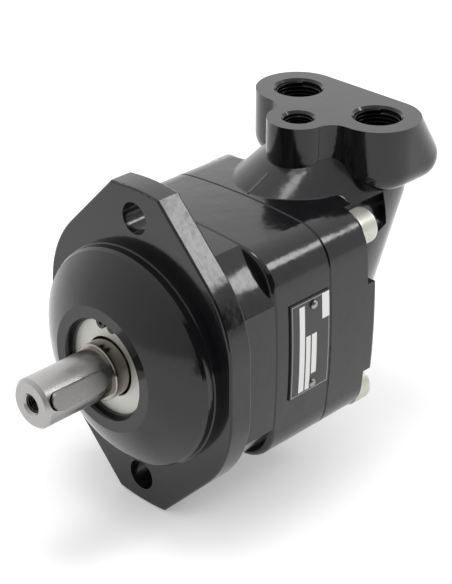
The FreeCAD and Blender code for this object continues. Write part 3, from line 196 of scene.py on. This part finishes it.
def add(tree, kind, inputs=None, **settings):
    """Adds a node with its settings, and its inputs as plain values or as sockets to link from."""
    node = tree.nodes.new(kind)
    for name, value in settings.items():
        setattr(node, name, value)
    for name, value in (inputs or {}).items():
        socket = node.inputs[name]
        if isinstance(value, bpy.types.NodeSocket):
            tree.links.new(value, socket)
        else:
            socket.default_value = value
    return node


# Materials


def new_material(name):
    """Material with an empty node tree and the place of each point on the pump."""
    material = bpy.data.materials.new(name)
    material.use_nodes = True
    material.node_tree.nodes.clear()
    place = add(material.node_tree, "ShaderNodeTexCoord").outputs["Object"]
    return material, material.node_tree, place


def turning_marks(tree, place, feed, tilt):
    """Fine rings that a lathe leaves on every face round the shaft axis or the barrel axis."""
    centred = add(tree, "ShaderNodeMapping", {
        "Vector": place, "Location": (0, -BEND_POINT * MM, 0)})
    level = add(tree, "ShaderNodeMapping", {
        "Vector": centred.outputs[0], "Rotation": (-math.radians(tilt), 0, 0)})
    parts = add(tree, "ShaderNodeSeparateXYZ", {0: level.outputs[0]})
    across = add(tree, "ShaderNodeCombineXYZ", {0: parts.outputs[0], 1: parts.outputs[2]})
    radius = add(tree, "ShaderNodeVectorMath", {0: across.outputs[0]}, operation="LENGTH")
    along = add(tree, "ShaderNodeMath", {0: radius.outputs["Value"], 1: parts.outputs[1]},
                operation="ADD")
    line = add(tree, "ShaderNodeCombineXYZ", {0: along.outputs[0]})
    wave = add(tree, "ShaderNodeTexWave", {
        "Vector": line.outputs[0], "Scale": per_size(feed) / WAVE_RADIANS, "Distortion": 1.5,
        "Detail": 3.0, "Detail Scale": 4.0}, bands_direction="X")
    return wave.outputs["Fac"]


def specks(tree, place, spacing, radius):
    """1 in small round spots that lie scattered in some of the cells, and 0 between them."""
    cells = add(tree, "ShaderNodeTexVoronoi", {"Vector": place, "Scale": per_size(spacing)})
    spot = add(tree, "ShaderNodeMapRange", {
        "Value": cells.outputs["Distance"], "From Min": radius / spacing,
        "From Max": SPECK_CORE * radius / spacing})
    kept = add(tree, "ShaderNodeMath", {0: cells.outputs["Color"], 1: SPECK_SHARE},
               operation="GREATER_THAN")
    return add(tree, "ShaderNodeMath", {0: spot.outputs[0], 1: kept.outputs[0]},
               operation="MULTIPLY").outputs[0]


def cast_share(tree, place):
    """1 on the cast skin, and 0 on what is turned or milled before painting: all up to the
    flange face, and the port faces."""
    parts = add(tree, "ShaderNodeSeparateXYZ", {0: place})
    behind = add(tree, "ShaderNodeMath", {0: parts.outputs[1], 1: TURNED_BACK * MM},
                 operation="GREATER_THAN")
    below = add(tree, "ShaderNodeMath", {0: parts.outputs[2], 1: MILLED_TOP * MM},
                operation="LESS_THAN")
    return add(tree, "ShaderNodeMath", {0: behind.outputs[0], 1: below.outputs[0]},
               operation="MULTIPLY").outputs[0]


def enamel_on_iron():
    """Gloss black enamel sprayed on cast iron: mirror-like, with an orange peel that makes the
    edges of reflections waver, pin holes and a few grains of dust. Under it the cast skin swells
    slowly, and the turned and milled faces are nearly flat."""
    material, tree, place = new_material("gloss_enamel_sprayed_on_cast_iron")
    peel = add(tree, "ShaderNodeTexNoise", {
        "Vector": place, "Scale": per_size(PEEL_SIZE), "Detail": 2.0}).outputs["Fac"]
    swell = add(tree, "ShaderNodeTexNoise", {
        "Vector": place, "Scale": per_size(SWELL_SIZE), "Detail": 2.0}).outputs["Fac"]
    fine = add(tree, "ShaderNodeBump", {
        "Height": peel, "Strength": 0.25, "Distance": PEEL_DEPTH * MM})
    uneven = add(tree, "ShaderNodeMath", {
        0: cast_share(tree, place), 1: CAST_SWELL, 2: MACHINED_SWELL}, operation="MULTIPLY_ADD")
    broad = add(tree, "ShaderNodeBump", {
        "Height": swell, "Strength": uneven.outputs[0], "Distance": SWELL_DEPTH * MM,
        "Normal": fine.outputs[0]})
    pitted = add(tree, "ShaderNodeBump", {
        "Height": specks(tree, place, PIN_HOLE_SPACING, PIN_HOLE_RADIUS), "Strength": 0.6,
        "Distance": PIN_HOLE_DEPTH * MM, "Normal": broad.outputs[0]}, invert=True)
    coat = add(tree, "ShaderNodeMix", {
        0: swell, 6: linear("#0e0e10"), 7: linear("#161618")}, data_type="RGBA")
    dusty = add(tree, "ShaderNodeMix", {
        0: specks(tree, place, DUST_SPACING, DUST_RADIUS), 6: coat.outputs[2],
        7: linear("#b4b4b4")}, data_type="RGBA")
    rough = add(tree, "ShaderNodeMapRange", {
        "Value": peel, **NOISE_RANGE, "To Min": 0.10, "To Max": 0.18})
    shader = add(tree, "ShaderNodeBsdfPrincipled", {
        "Base Color": dusty.outputs[2], "Roughness": rough.outputs[0], "IOR": 1.5,
        "Normal": pitted.outputs[0]})
    add(tree, "ShaderNodeOutputMaterial", {"Surface": shader.outputs[0]})
    return material


def bare(tree, colours, cloud, rough, grain, relief, metallic=1.0):
    """Shader of a bare finish: the colour drifts between two with a cloud, the roughness between
    two with a grain, and a relief breaks the highlights."""
    tint = add(tree, "ShaderNodeMix", {
        0: cloud, 6: linear(colours[0]), 7: linear(colours[1])}, data_type="RGBA")
    gloss = add(tree, "ShaderNodeMapRange", {
        "Value": grain, **NOISE_RANGE, "To Min": rough[0], "To Max": rough[1]})
    shader = add(tree, "ShaderNodeBsdfPrincipled", {
        "Base Color": tint.outputs[2], "Metallic": metallic, "Roughness": gloss.outputs[0],
        "Normal": relief.outputs[0]})
    add(tree, "ShaderNodeOutputMaterial", {"Surface": shader.outputs[0]})


def ground_metal(name, dark, light, rough, feed, tilt=0.0, depth=0.004):
    """Bright metal turned or ground round an axis: fine rings that stretch each highlight."""
    material, tree, place = new_material(name)
    relief = add(tree, "ShaderNodeBump", {
        "Height": turning_marks(tree, place, feed, tilt), "Strength": 0.3, "Distance": depth * MM})
    cloud = add(tree, "ShaderNodeTexNoise", {
        "Vector": place, "Scale": per_size(GROUND_CLOUD), "Detail": 4.0}).outputs["Fac"]
    limits = (rough * (1 - GROUND_STRAY), rough * (1 + GROUND_STRAY))
    bare(tree, (dark, light), cloud, limits, cloud, relief)
    return material


def grained(name, dark, light, rough, grain, depth, metallic=1.0):
    """Finish with an even grain, such as plating, blasting, moulding or casting leaves."""
    material, tree, place = new_material(name)
    fine = add(tree, "ShaderNodeTexNoise", {
        "Vector": place, "Scale": per_size(grain), "Detail": 3.0}).outputs["Fac"]
    relief = add(tree, "ShaderNodeBump", {
        "Height": fine, "Strength": 0.4, "Distance": depth * MM})
    cloud = add(tree, "ShaderNodeTexNoise", {
        "Vector": place, "Scale": per_size(GRAINED_CLOUD), "Detail": 3.0}).outputs["Fac"]
    limits = (rough * (1 - GRAINED_STRAY), rough * (1 + GRAINED_STRAY))
    bare(tree, (dark, light), cloud, limits, fine, relief, metallic)
    return material


def inside(tree, parts, left, right, top, bottom):
    """1 inside an upright rectangle on the data plate and 0 outside it."""
    masks = []
    for axis, low, high in ((1, left, right), (2, -bottom, -top)):
        mask = add(tree, "ShaderNodeMath", {
            0: parts.outputs[axis], 1: (low + high) / 2 * MM, 2: (high - low) / 2 * MM},
            operation="COMPARE")
        masks.append(mask.outputs[0])
    return add(tree, "ShaderNodeMath", {0: masks[0], 1: masks[1]}, operation="MULTIPLY").outputs[0]


def printed_plate():
    """Aluminium plate screen-printed in black: satin ink with pale blank fields and a thin bright
    line round its rim."""
    material, tree, place = new_material("screen_printed_aluminium_plate")
    low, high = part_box("data_plate")
    from_corner = add(tree, "ShaderNodeMapping", {
        "Vector": place, "Location": (0, -low.y, -high.z)})
    parts = add(tree, "ShaderNodeSeparateXYZ", {0: from_corner.outputs[0]})
    rims = []
    for inset in (PLATE_LINE_INSET, PLATE_LINE_INSET + PLATE_LINE_WIDTH):
        rims.append(inside(tree, parts, inset, (high.y - low.y) / MM - inset,
                           inset, (high.z - low.z) / MM - inset))
    line = add(tree, "ShaderNodeMath", {0: rims[0], 1: rims[1]}, operation="SUBTRACT")
    pale = add(tree, "ShaderNodeMath", {0: line.outputs[0], 1: PLATE_LINE_SHARE},
               operation="MULTIPLY").outputs[0]
    for field in PLATE_FIELDS:
        pale = add(tree, "ShaderNodeMath", {0: pale, 1: inside(tree, parts, *field)},
                   operation="MAXIMUM").outputs[0]
    colour = add(tree, "ShaderNodeMix", {0: pale, 6: linear("#2b2b2c"), 7: linear("#dcdcda")},
                 data_type="RGBA")
    grain = add(tree, "ShaderNodeTexNoise", {"Vector": place, "Scale": per_size(PLATE_GRAIN)})
    rough = add(tree, "ShaderNodeMapRange", {
        "Value": grain.outputs["Fac"], **NOISE_RANGE, "To Min": 0.34, "To Max": 0.42})
    shader = add(tree, "ShaderNodeBsdfPrincipled", {
        "Base Color": colour.outputs[2], "Roughness": rough.outputs[0]})
    add(tree, "ShaderNodeOutputMaterial", {"Surface": shader.outputs[0]})
    return material


# Colours are darkest and lightest, feeds, grains and depths in millimetres. The real feeds and
# grains are about 0.1 mm, and they are drawn coarser so that they show.
FINISHES = {
    "enamel_black": enamel_on_iron(),
    "data_plate_metal": printed_plate(),
    # Shaft and key: steel ground after hardening, mid grey with soft streaks round it
    "shaft_steel": ground_metal("cylindrically_ground_alloy_steel", "#9f9e9c", "#adacaa",
                                rough=0.30, feed=0.5, depth=0.002),
    # Seal sleeve: hardened steel lapped to a mirror, slightly warm
    "polished_steel": ground_metal("lapped_hardened_steel", "#928c86", "#a39d97",
                                   rough=0.14, feed=0.4),
    # Screws: zinc plated and passivated, pale and slightly warm with a dull grain
    "zinc_screw": grained("zinc_plated_forged_steel", "#c3c3ba", "#d6d6cd",
                          rough=0.42, grain=0.6, depth=0.02),
    # Rivets of the data plate: aluminium, greyer than the screws
    "rivet_aluminium": grained("drawn_aluminium_rivet", "#8f8f8d", "#a2a2a0",
                               rough=0.35, grain=0.5, depth=0.02),
    # Seal carrier: machined aluminium blasted to an even pale grey
    "pale_plate": grained("bead_blasted_aluminium", "#c4c4be", "#d0d0ca",
                          rough=0.55, grain=0.4, depth=0.01),
    # Circlip, piston rings, springs and washers: spring steel oiled after tempering, nearly black
    "spring_steel": grained("oil_tempered_spring_steel", "#3a3a3b", "#4a4a4a",
                            rough=0.38, grain=0.8, depth=0.01),
    # Bearing rings, rollers, nut and dowel: through-hardened steel honed bright
    "bearing_steel": ground_metal("honed_bearing_steel", "#a8a8a8", "#b8b8b8",
                                  rough=0.16, feed=0.4),
    # Bearing cages: pressed sheet steel with a dull drawn skin
    "cage_steel": grained("pressed_sheet_steel", "#828282", "#929292",
                          rough=0.40, grain=1.2, depth=0.01),
    # Timing gears: case-hardened steel, greyish from the furnace with machined tooth marks
    "gear_steel": ground_metal("case_hardened_gear_steel", "#77777a", "#8a8a8c",
                               rough=0.34, feed=0.6, tilt=BEND_ANGLE),
    # Cylinder barrel: nitrided steel, matt grey with turning rings
    "barrel_steel": ground_metal("nitrided_turned_steel", "#6d6f72", "#7e8083",
                                 rough=0.38, feed=0.7, tilt=BEND_ANGLE),
    # Pistons and centre pin: ground and polished steel, brighter than the barrel
    "piston_steel": ground_metal("polished_nitrided_steel", "#9c9c9d", "#adadae",
                                 rough=0.18, feed=0.5, tilt=BEND_ANGLE),
    # Valve plate and ball rings: leaded bronze turned and lapped, yellow brown
    "bronze": ground_metal("lapped_leaded_bronze", "#a37f4d", "#b8935e",
                           rough=0.26, feed=0.5, tilt=BEND_ANGLE),
    # Rings and lip seal: moulded nitrile rubber, soft black without a mirror
    "rubber_black": grained("moulded_nitrile_rubber", "#101010", "#191919",
                            rough=0.6, grain=0.9, depth=0.02, metallic=0.0),
    # Port threads: tapped cast iron coloured nearly black, with thin bright crests
    "tapped_iron": grained("tapped_cast_iron_oiled", "#1c1c1e", "#2b2b2d",
                           rough=0.28, grain=0.7, depth=0.01),
    # Thread in the shaft end: tapped steel coloured dark brownish grey as painted shade, so that
    # the hole looks dark
    "tapped_steel": grained("tapped_steel_oiled", "#3a3733", "#4a4743",
                            rough=0.35, grain=0.7, depth=0.01),
}
# Solids whose finish isn't the one of their slot
OWN_FINISHES = {"plate_rivets": "rivet_aluminium"}

for node_name, cad_node in frame["nodes"].items():
    for material_slot in cad_node.material_slots:
        finish = OWN_FINISHES.get(node_name, material_slot.material.name.split(".")[0])
        material_slot.material = FINISHES[finish]


# Pieces made by geometry nodes


def new_tree(name, sizes):
    """Geometry tree with named inputs, and the sockets that they come out of."""
    tree = bpy.data.node_groups.new(name, "GeometryNodeTree")
    tree.interface.new_socket("Geometry", in_out="INPUT", socket_type="NodeSocketGeometry")
    for size, kind in sizes:
        tree.interface.new_socket(size, in_out="INPUT", socket_type=kind)
    tree.interface.new_socket("Geometry", in_out="OUTPUT", socket_type="NodeSocketGeometry")
    return tree, tree.nodes.new("NodeGroupInput").outputs


def close_tree(tree, geometry):
    """Ends a tree with real geometry that has its material."""
    real = add(tree, "GeometryNodeRealizeInstances", {0: geometry})
    entry = next(node for node in tree.nodes if node.type == "GROUP_INPUT")
    coated = add(tree, "GeometryNodeSetMaterial", {
        0: real.outputs[0], "Material": entry.outputs["Material"]})
    add(tree, "NodeGroupOutput", {0: coated.outputs[0]})


def grown(name, tree, values):
    """Plain mesh object that a tree makes from these input values."""
    seed = bpy.data.objects.new(name + "_seed", bpy.data.meshes.new(name + "_seed"))
    bpy.context.scene.collection.objects.link(seed)
    modifier = seed.modifiers.new(name, "NODES")
    modifier.node_group = tree
    keys = {item.name: item.identifier for item in tree.interface.items_tree
            if item.in_out == "INPUT"}
    for label, value in values.items():
        modifier[keys[label]] = value
    seen = seed.evaluated_get(bpy.context.evaluated_depsgraph_get())
    mesh = bpy.data.meshes.new_from_object(seen)
    seed.modifiers.clear()
    bpy.data.objects.remove(seed)
    mesh.name = name
    piece = bpy.data.objects.new(name, mesh)
    bpy.context.scene.collection.objects.link(piece)
    return piece


def joined(name, pieces):
    """One object from several."""
    with bpy.context.temp_override(active_object=pieces[0], selected_editable_objects=pieces):
        bpy.ops.object.join()
    pieces[0].name = name
    return pieces[0]


def thread_tree():
    """Inward screw thread: a helix along Z from its start, swept by a flat-topped ridge."""
    tree, sizes = new_tree("inward_thread", (
        ("Major Radius", "NodeSocketFloat"), ("Thread Height", "NodeSocketFloat"),
        ("Pitch", "NodeSocketFloat"), ("Length", "NodeSocketFloat"), ("Start", "NodeSocketVector"),
        ("Turn", "NodeSocketRotation"), ("Material", "NodeSocketMaterial")))
    middle = add(tree, "ShaderNodeMath", {0: sizes["Thread Height"], 1: 0.5}, operation="MULTIPLY")
    open_radius = add(tree, "ShaderNodeMath", {0: sizes["Major Radius"], 1: middle.outputs[0]},
                      operation="SUBTRACT")
    sunk_radius = add(tree, "ShaderNodeMath", {0: open_radius.outputs[0], 1: THREAD_SINK * MM},
                      operation="ADD")
    turns = add(tree, "ShaderNodeMath", {0: sizes["Length"], 1: sizes["Pitch"]}, operation="DIVIDE")
    helix = add(tree, "GeometryNodeCurveSpiral", {
        "Resolution": THREAD_STEPS, "Rotations": turns.outputs[0],
        "Start Radius": sunk_radius.outputs[0], "End Radius": sunk_radius.outputs[0],
        "Height": sizes["Length"]})
    upright = add(tree, "GeometryNodeSetCurveNormal", {0: helix.outputs[0]}, mode="Z_UP")
    root = add(tree, "ShaderNodeMath", {0: sizes["Pitch"], 1: THREAD_ROOT_SHARE},
               operation="MULTIPLY")
    crest = add(tree, "ShaderNodeMath", {0: sizes["Pitch"], 1: THREAD_CREST_SHARE},
                operation="MULTIPLY")
    ridge = add(tree, "GeometryNodeCurvePrimitiveQuadrilateral", {
        "Height": sizes["Thread Height"], "Bottom Width": crest.outputs[0],
        "Top Width": root.outputs[0], "Offset": 0.0}, mode="TRAPEZOID")
    sweep = add(tree, "GeometryNodeCurveToMesh", {
        "Curve": upright.outputs[0], "Profile Curve": ridge.outputs[0], "Fill Caps": True})
    seated = add(tree, "GeometryNodeTransform", {
        0: sweep.outputs[0], "Translation": sizes["Start"], "Rotation": sizes["Turn"]})
    close_tree(tree, seated.outputs[0])
    return tree


def thread(name, hole, tree, pitch, height, axis, turn, material):
    """Thread that fills a tapped hole of the record along an axis, short of its ends by half a
    pitch."""
    mount = next(mount for mount in frame["record"]["mounts"] if mount["name"] == hole)
    length = mount["dims"]["length_mm"] - pitch
    return grown(name, tree, {
        "Major Radius": mount["dims"]["r_mm"] * MM, "Thread Height": height * MM,
        "Pitch": pitch * MM, "Length": length * MM,
        "Start": Vector(mount["pos_m"]) - Vector(axis) * length / 2 * MM,
        "Turn": Euler(turn), "Material": FINISHES[material]})


def threads():
    """Pipe threads in the two large ports and the drain port, and the screw thread in the shaft."""
    tree = thread_tree()
    ports = [thread(name, name, tree, pitch, height, (0, 0, 1), (0, 0, 0), "tapped_iron")
             for name, pitch, height in (("port_a", PORT_PITCH, PORT_THREAD_HEIGHT),
                                         ("port_b", PORT_PITCH, PORT_THREAD_HEIGHT),
                                         ("drain_port", DRAIN_PITCH, DRAIN_THREAD_HEIGHT))]
    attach(joined("port_threads", ports), "housing")
    # The dark colour of the shaft end thread is painted shade in its hole.
    bore = thread("shaft_end_thread", "shaft_thread", tree, SHAFT_PITCH, SHAFT_THREAD_HEIGHT,
                  (0, 1, 0), (-math.pi / 2, 0, 0), "tapped_steel")
    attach(bore, "shaft")


def grip_tree():
    """Straight grip ridges round the heads of screws that stand at the corners of a square."""
    tree, sizes = new_tree("head_grip", (
        ("Head Radius", "NodeSocketFloat"), ("Ridge Radius", "NodeSocketFloat"),
        ("Ridge Length", "NodeSocketFloat"), ("Ridges", "NodeSocketInt"),
        ("Screw Spacing", "NodeSocketFloat"), ("Heads", "NodeSocketVector"),
        ("Material", "NodeSocketMaterial")))
    ridge = add(tree, "GeometryNodeMeshCylinder", {
        "Vertices": GRIP_RIDGE_SIDES, "Radius": sizes["Ridge Radius"],
        "Depth": sizes["Ridge Length"]})
    round_head = add(tree, "GeometryNodeMeshCircle", {
        "Vertices": sizes["Ridges"], "Radius": sizes["Head Radius"]})
    ring = add(tree, "GeometryNodeInstanceOnPoints", {
        "Points": round_head.outputs[0], "Instance": ridge.outputs[0]})
    places = add(tree, "GeometryNodeMeshGrid", {
        "Size X": sizes["Screw Spacing"], "Size Y": sizes["Screw Spacing"],
        "Vertices X": 2, "Vertices Y": 2})
    heads = add(tree, "GeometryNodeInstanceOnPoints", {
        "Points": places.outputs[0], "Instance": ring.outputs[0]})
    seated = add(tree, "GeometryNodeTransform", {
        0: heads.outputs[0], "Translation": sizes["Heads"],
        "Rotation": Euler((math.pi / 2, 0, 0))})
    close_tree(tree, seated.outputs[0])
    return tree


def head_grip():
    """Grip ridges on the four screw heads."""
    low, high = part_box("housing_screws")
    piece = grown("screw_head_grip", grip_tree(), {
        "Head Radius": (HEAD_RADIUS - GRIP_RIDGE_SINK) * MM, "Ridge Radius": GRIP_RIDGE_RADIUS * MM,
        "Ridge Length": GRIP_LENGTH * MM, "Ridges": GRIP_RIDGES,
        "Screw Spacing": high.x - low.x - 2 * HEAD_RADIUS * MM,
        "Heads": Vector((0, high.y - HEAD_HEIGHT / 2 * MM, (low.z + high.z) / 2)),
        "Material": FINISHES["zinc_screw"]})
    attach(piece, "housing")


def flash_tree():
    """Low ridge that follows the skin under a straight line, swept along it."""
    tree, sizes = new_tree("casting_flash", (
        ("Line Start", "NodeSocketVector"), ("Line End", "NodeSocketVector"),
        ("Ridge Radius", "NodeSocketFloat"), ("Points", "NodeSocketInt"),
        ("Skin", "NodeSocketObject"), ("Material", "NodeSocketMaterial")))
    line = add(tree, "GeometryNodeCurvePrimitiveLine", {
        "Start": sizes["Line Start"], "End": sizes["Line End"]})
    points = add(tree, "GeometryNodeResampleCurve", {0: line.outputs[0], "Count": sizes["Points"]})
    skin = add(tree, "GeometryNodeObjectInfo", {"Object": sizes["Skin"]})
    above = add(tree, "ShaderNodeVectorMath", {
        0: add(tree, "GeometryNodeInputPosition").outputs[0], 1: (0, 0, FLASH_DROP_HEIGHT * MM)},
        operation="ADD")
    hit = add(tree, "GeometryNodeRaycast", {
        "Target Geometry": skin.outputs["Geometry"], "Source Position": above.outputs[0],
        "Ray Direction": (0, 0, -1), "Ray Length": FLASH_DROP_REACH * MM})
    laid = add(tree, "GeometryNodeSetPosition", {
        0: points.outputs[0], "Selection": hit.outputs["Is Hit"],
        "Position": hit.outputs["Hit Position"], "Offset": (0, 0, -FLASH_SINK * MM)})
    ring = add(tree, "GeometryNodeCurvePrimitiveCircle", {
        "Resolution": FLASH_SIDES, "Radius": sizes["Ridge Radius"]})
    sweep = add(tree, "GeometryNodeCurveToMesh", {
        "Curve": laid.outputs[0], "Profile Curve": ring.outputs[0], "Fill Caps": True})
    close_tree(tree, sweep.outputs[0])
    return tree


def casting_flash(skin):
    """Flash of the mould joint on the casing."""
    piece = grown("casting_flash", flash_tree(), {
        "Line Start": Vector(FLASH_START) * MM, "Line End": Vector(FLASH_END) * MM,
        "Ridge Radius": FLASH_RADIUS * MM, "Points": FLASH_POINTS, "Skin": skin,
        "Material": FINISHES["enamel_black"]})
    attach(piece, "housing")


# Barrel housing with flat sides


def on_grid(point):
    """Whole steps of a fine grid nearest to a point, the same for all points that are one."""
    return tuple(round(value / (GRID * MM)) for value in point)


def crowned_side(height):
    """Half width of the block at a height on its crowned sides."""
    inner = min(abs(height), BLOCK_HALF * MM)
    return math.sqrt((CROWN_RADIUS * MM) ** 2 - inner ** 2) - (CROWN_RADIUS - BLOCK_HALF) * MM


def crown_normal(point):
    """Outward direction of the crowned side at a point on it."""
    return Vector((math.copysign(1, point.x), 0, point.z / (CROWN_RADIUS * MM))).normalized()


def planed_housing():
    """Barrel housing with the flare of its casing planed off flush with the block's crowned sides.
    The merge renumbers the corners, so each normal is kept by where it and its triangle lie."""
    mesh = frame["nodes"]["barrel_housing"].data.copy()
    mesh.name = "planed_barrel_housing"
    normals = [corner.vector.copy() for corner in mesh.corner_normals]
    planed = set()
    for point in mesh.vertices:
        side = crowned_side(point.co.z)
        if abs(point.co.x) > side:
            point.co.x = math.copysign(side, point.co.x)
            planed.add(point.index)
    seen = {}
    for polygon in mesh.polygons:
        corners = [on_grid(mesh.vertices[index].co) for index in polygon.vertices]
        crowned = not planed.isdisjoint(polygon.vertices)
        for loop, index, corner in zip(polygon.loop_indices, polygon.vertices, corners):
            normal = crown_normal(mesh.vertices[index].co) if crowned else normals[loop]
            seen[frozenset(corners), corner] = normal
    form = bmesh.new()
    form.from_mesh(mesh)
    bmesh.ops.remove_doubles(form, verts=form.verts, dist=GRID * MM / 2)
    form.to_mesh(mesh)
    form.free()
    kept = []
    for polygon in mesh.polygons:
        corners = [on_grid(mesh.vertices[index].co) for index in polygon.vertices]
        kept += [seen.get((frozenset(corners), corner), polygon.normal) for corner in corners]
    mesh.normals_split_custom_set(kept)
    piece = bpy.data.objects.new(mesh.name, mesh)
    bpy.context.scene.collection.objects.link(piece)
    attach(piece, "housing")
    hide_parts("barrel_housing")
    return piece


casting_flash(planed_housing())
threads()
head_grip()


# Studio


def towards(azimuth, elevation):
    """Direction by its azimuth from +Y towards +X and its elevation, in degrees."""
    turn, rise = math.radians(azimuth), math.radians(elevation)
    return Vector((math.sin(turn) * math.cos(rise), math.cos(turn) * math.cos(rise),
                   math.sin(rise)))


def softbox(name, azimuth, elevation, distance, width, height, radiance):
    """Soft lamp aimed at the pump."""
    lamp = bpy.data.lights.new(name, "AREA")
    lamp.shape = "RECTANGLE"
    lamp.size = width
    lamp.size_y = height
    lamp.energy = radiance * math.pi * width * height
    holder = bpy.data.objects.new(name, lamp)
    bpy.context.scene.collection.objects.link(holder)
    way = towards(azimuth, elevation) * distance
    holder.matrix_world = (Matrix.Translation(LIT_POINT + way)
                           @ way.to_track_quat("Z", "Y").to_matrix().to_4x4())


def card(name, low, high, material):
    """Card of the studio between its lower and upper edge, each a list of points."""
    mesh = bpy.data.meshes.new(name)
    mesh.from_pydata([tuple(point) for point in low + high], [],
                     [(place, place + 1, len(low) + place + 1, len(low) + place)
                      for place in range(len(low) - 1)])
    mesh.materials.append(material)
    piece = bpy.data.objects.new(name, mesh)
    bpy.context.scene.collection.objects.link(piece)
    return piece


def white_paper():
    """White paper sweep: it keeps the pump's shadow, and the eye and mirrors see it a little
    lifted."""
    material, tree, place = new_material("matt_white_paper")
    grain = add(tree, "ShaderNodeTexNoise", {"Vector": place, "Scale": per_size(PAPER_GRAIN)})
    tint = add(tree, "ShaderNodeMix", {
        0: grain.outputs["Fac"], 6: linear("#f4f4f4"), 7: linear("#f6f6f6")}, data_type="RGBA")
    paper = add(tree, "ShaderNodeBsdfDiffuse", {"Color": tint.outputs[2]})
    ray = add(tree, "ShaderNodeLightPath")
    mirrored = add(tree, "ShaderNodeMath", {
        0: ray.outputs["Is Camera Ray"], 1: ray.outputs["Is Glossy Ray"]}, operation="MAXIMUM")
    seen = add(tree, "ShaderNodeMath", {
        0: mirrored.outputs[0], 1: ray.outputs["Is Transmission Ray"]}, operation="MAXIMUM")
    lift = add(tree, "ShaderNodeMath", {0: seen.outputs[0], 1: PAPER_LIFT}, operation="MULTIPLY")
    glow = add(tree, "ShaderNodeEmission", {"Strength": lift.outputs[0]})
    lifted = add(tree, "ShaderNodeAddShader", {0: paper.outputs[0], 1: glow.outputs[0]})
    add(tree, "ShaderNodeOutputMaterial", {"Surface": lifted.outputs[0]})
    return material


def black_cloth():
    """Black cloth of the flag: matt, so that the enamel mirrors it as plain black."""
    material, tree, place = new_material("black_flag_cloth")
    weave = add(tree, "ShaderNodeTexNoise", {"Vector": place, "Scale": per_size(CLOTH_WEAVE)})
    tint = add(tree, "ShaderNodeMix", {
        0: weave.outputs["Fac"], 6: linear("#050505"), 7: linear("#0a0a0a")}, data_type="RGBA")
    cloth = add(tree, "ShaderNodeBsdfDiffuse", {"Color": tint.outputs[2]})
    add(tree, "ShaderNodeOutputMaterial", {"Surface": cloth.outputs[0]})
    return material


def studio_world():
    """White room: the camera sees pure white, mirrors see it brighter behind the pump than in
    front."""
    world = bpy.data.worlds.new("white_room")
    bpy.context.scene.world = world
    world.use_nodes = True
    tree = world.node_tree
    tree.nodes.clear()
    ray = add(tree, "ShaderNodeLightPath")
    way = add(tree, "ShaderNodeTexCoord").outputs["Generated"]
    rise = add(tree, "ShaderNodeVectorMath", {
        0: way, 1: tuple(towards(ROOM_BRIGHT_AZIMUTH, 0))}, operation="DOT_PRODUCT")
    mirrored = add(tree, "ShaderNodeMapRange", {
        "Value": rise.outputs["Value"], "From Min": -1.0, "From Max": 1.0,
        "To Min": ROOM_DARK, "To Max": ROOM_BRIGHT})
    by_mirror = add(tree, "ShaderNodeMath", {
        0: ray.outputs["Is Glossy Ray"], 1: ray.outputs["Is Transmission Ray"]},
        operation="MAXIMUM")
    lit = add(tree, "ShaderNodeMix", {
        0: by_mirror.outputs[0], 2: ROOM_FILL, 3: mirrored.outputs[0]}, data_type="FLOAT")
    strength = add(tree, "ShaderNodeMix", {
        0: ray.outputs["Is Camera Ray"], 2: lit.outputs[0], 3: 1.0}, data_type="FLOAT")
    sky = add(tree, "ShaderNodeBackground", {
        "Color": (1, 1, 1, 1), "Strength": strength.outputs[0]})
    add(tree, "ShaderNodeOutputWorld", {"Surface": sky.outputs[0]})


floor_height = cad_box[0][2] - FLOOR_GAP
floor = card("floor", *[[(x, y, floor_height) for x in (-FLOOR_HALF, FLOOR_HALF)]
                        for y in (-FLOOR_HALF, FLOOR_HALF)], white_paper())
# Curved flag beside the camera: the enamel mirrors it black
flag = card("dark_flag",
            [LIT_POINT + towards(azimuth, low) * FLAG_DISTANCE for azimuth, low in FLAG_LOW],
            [LIT_POINT + towards(azimuth, FLAG_HIGH) * FLAG_DISTANCE for azimuth, low in FLAG_LOW],
            black_cloth())
flag.visible_camera = False
flag.visible_diffuse = False
flag.visible_shadow = False

softbox("back_softbox", azimuth=38.4, elevation=38.6, distance=1.54, width=0.30, height=0.30,
        radiance=9.0)
softbox("top_softbox", azimuth=-140, elevation=84, distance=1.4, width=0.5, height=0.5,
        radiance=6.4)
studio_world()

camera_data = bpy.data.cameras.new("camera")
camera_data.lens = CAMERA_LENS
camera_data.sensor_width = CAMERA_SENSOR
camera = bpy.data.objects.new("camera", camera_data)
bpy.context.scene.collection.objects.link(camera)
camera.matrix_world = Matrix.Translation(Vector(CAMERA_PLACE) * MM) @ Euler(
    (math.radians(90 - CAMERA_ELEVATION), 0, math.radians(CAMERA_AZIMUTH))).to_matrix().to_4x4()
bpy.context.scene.camera = camera
bpy.context.scene.view_settings.view_transform = "Standard"
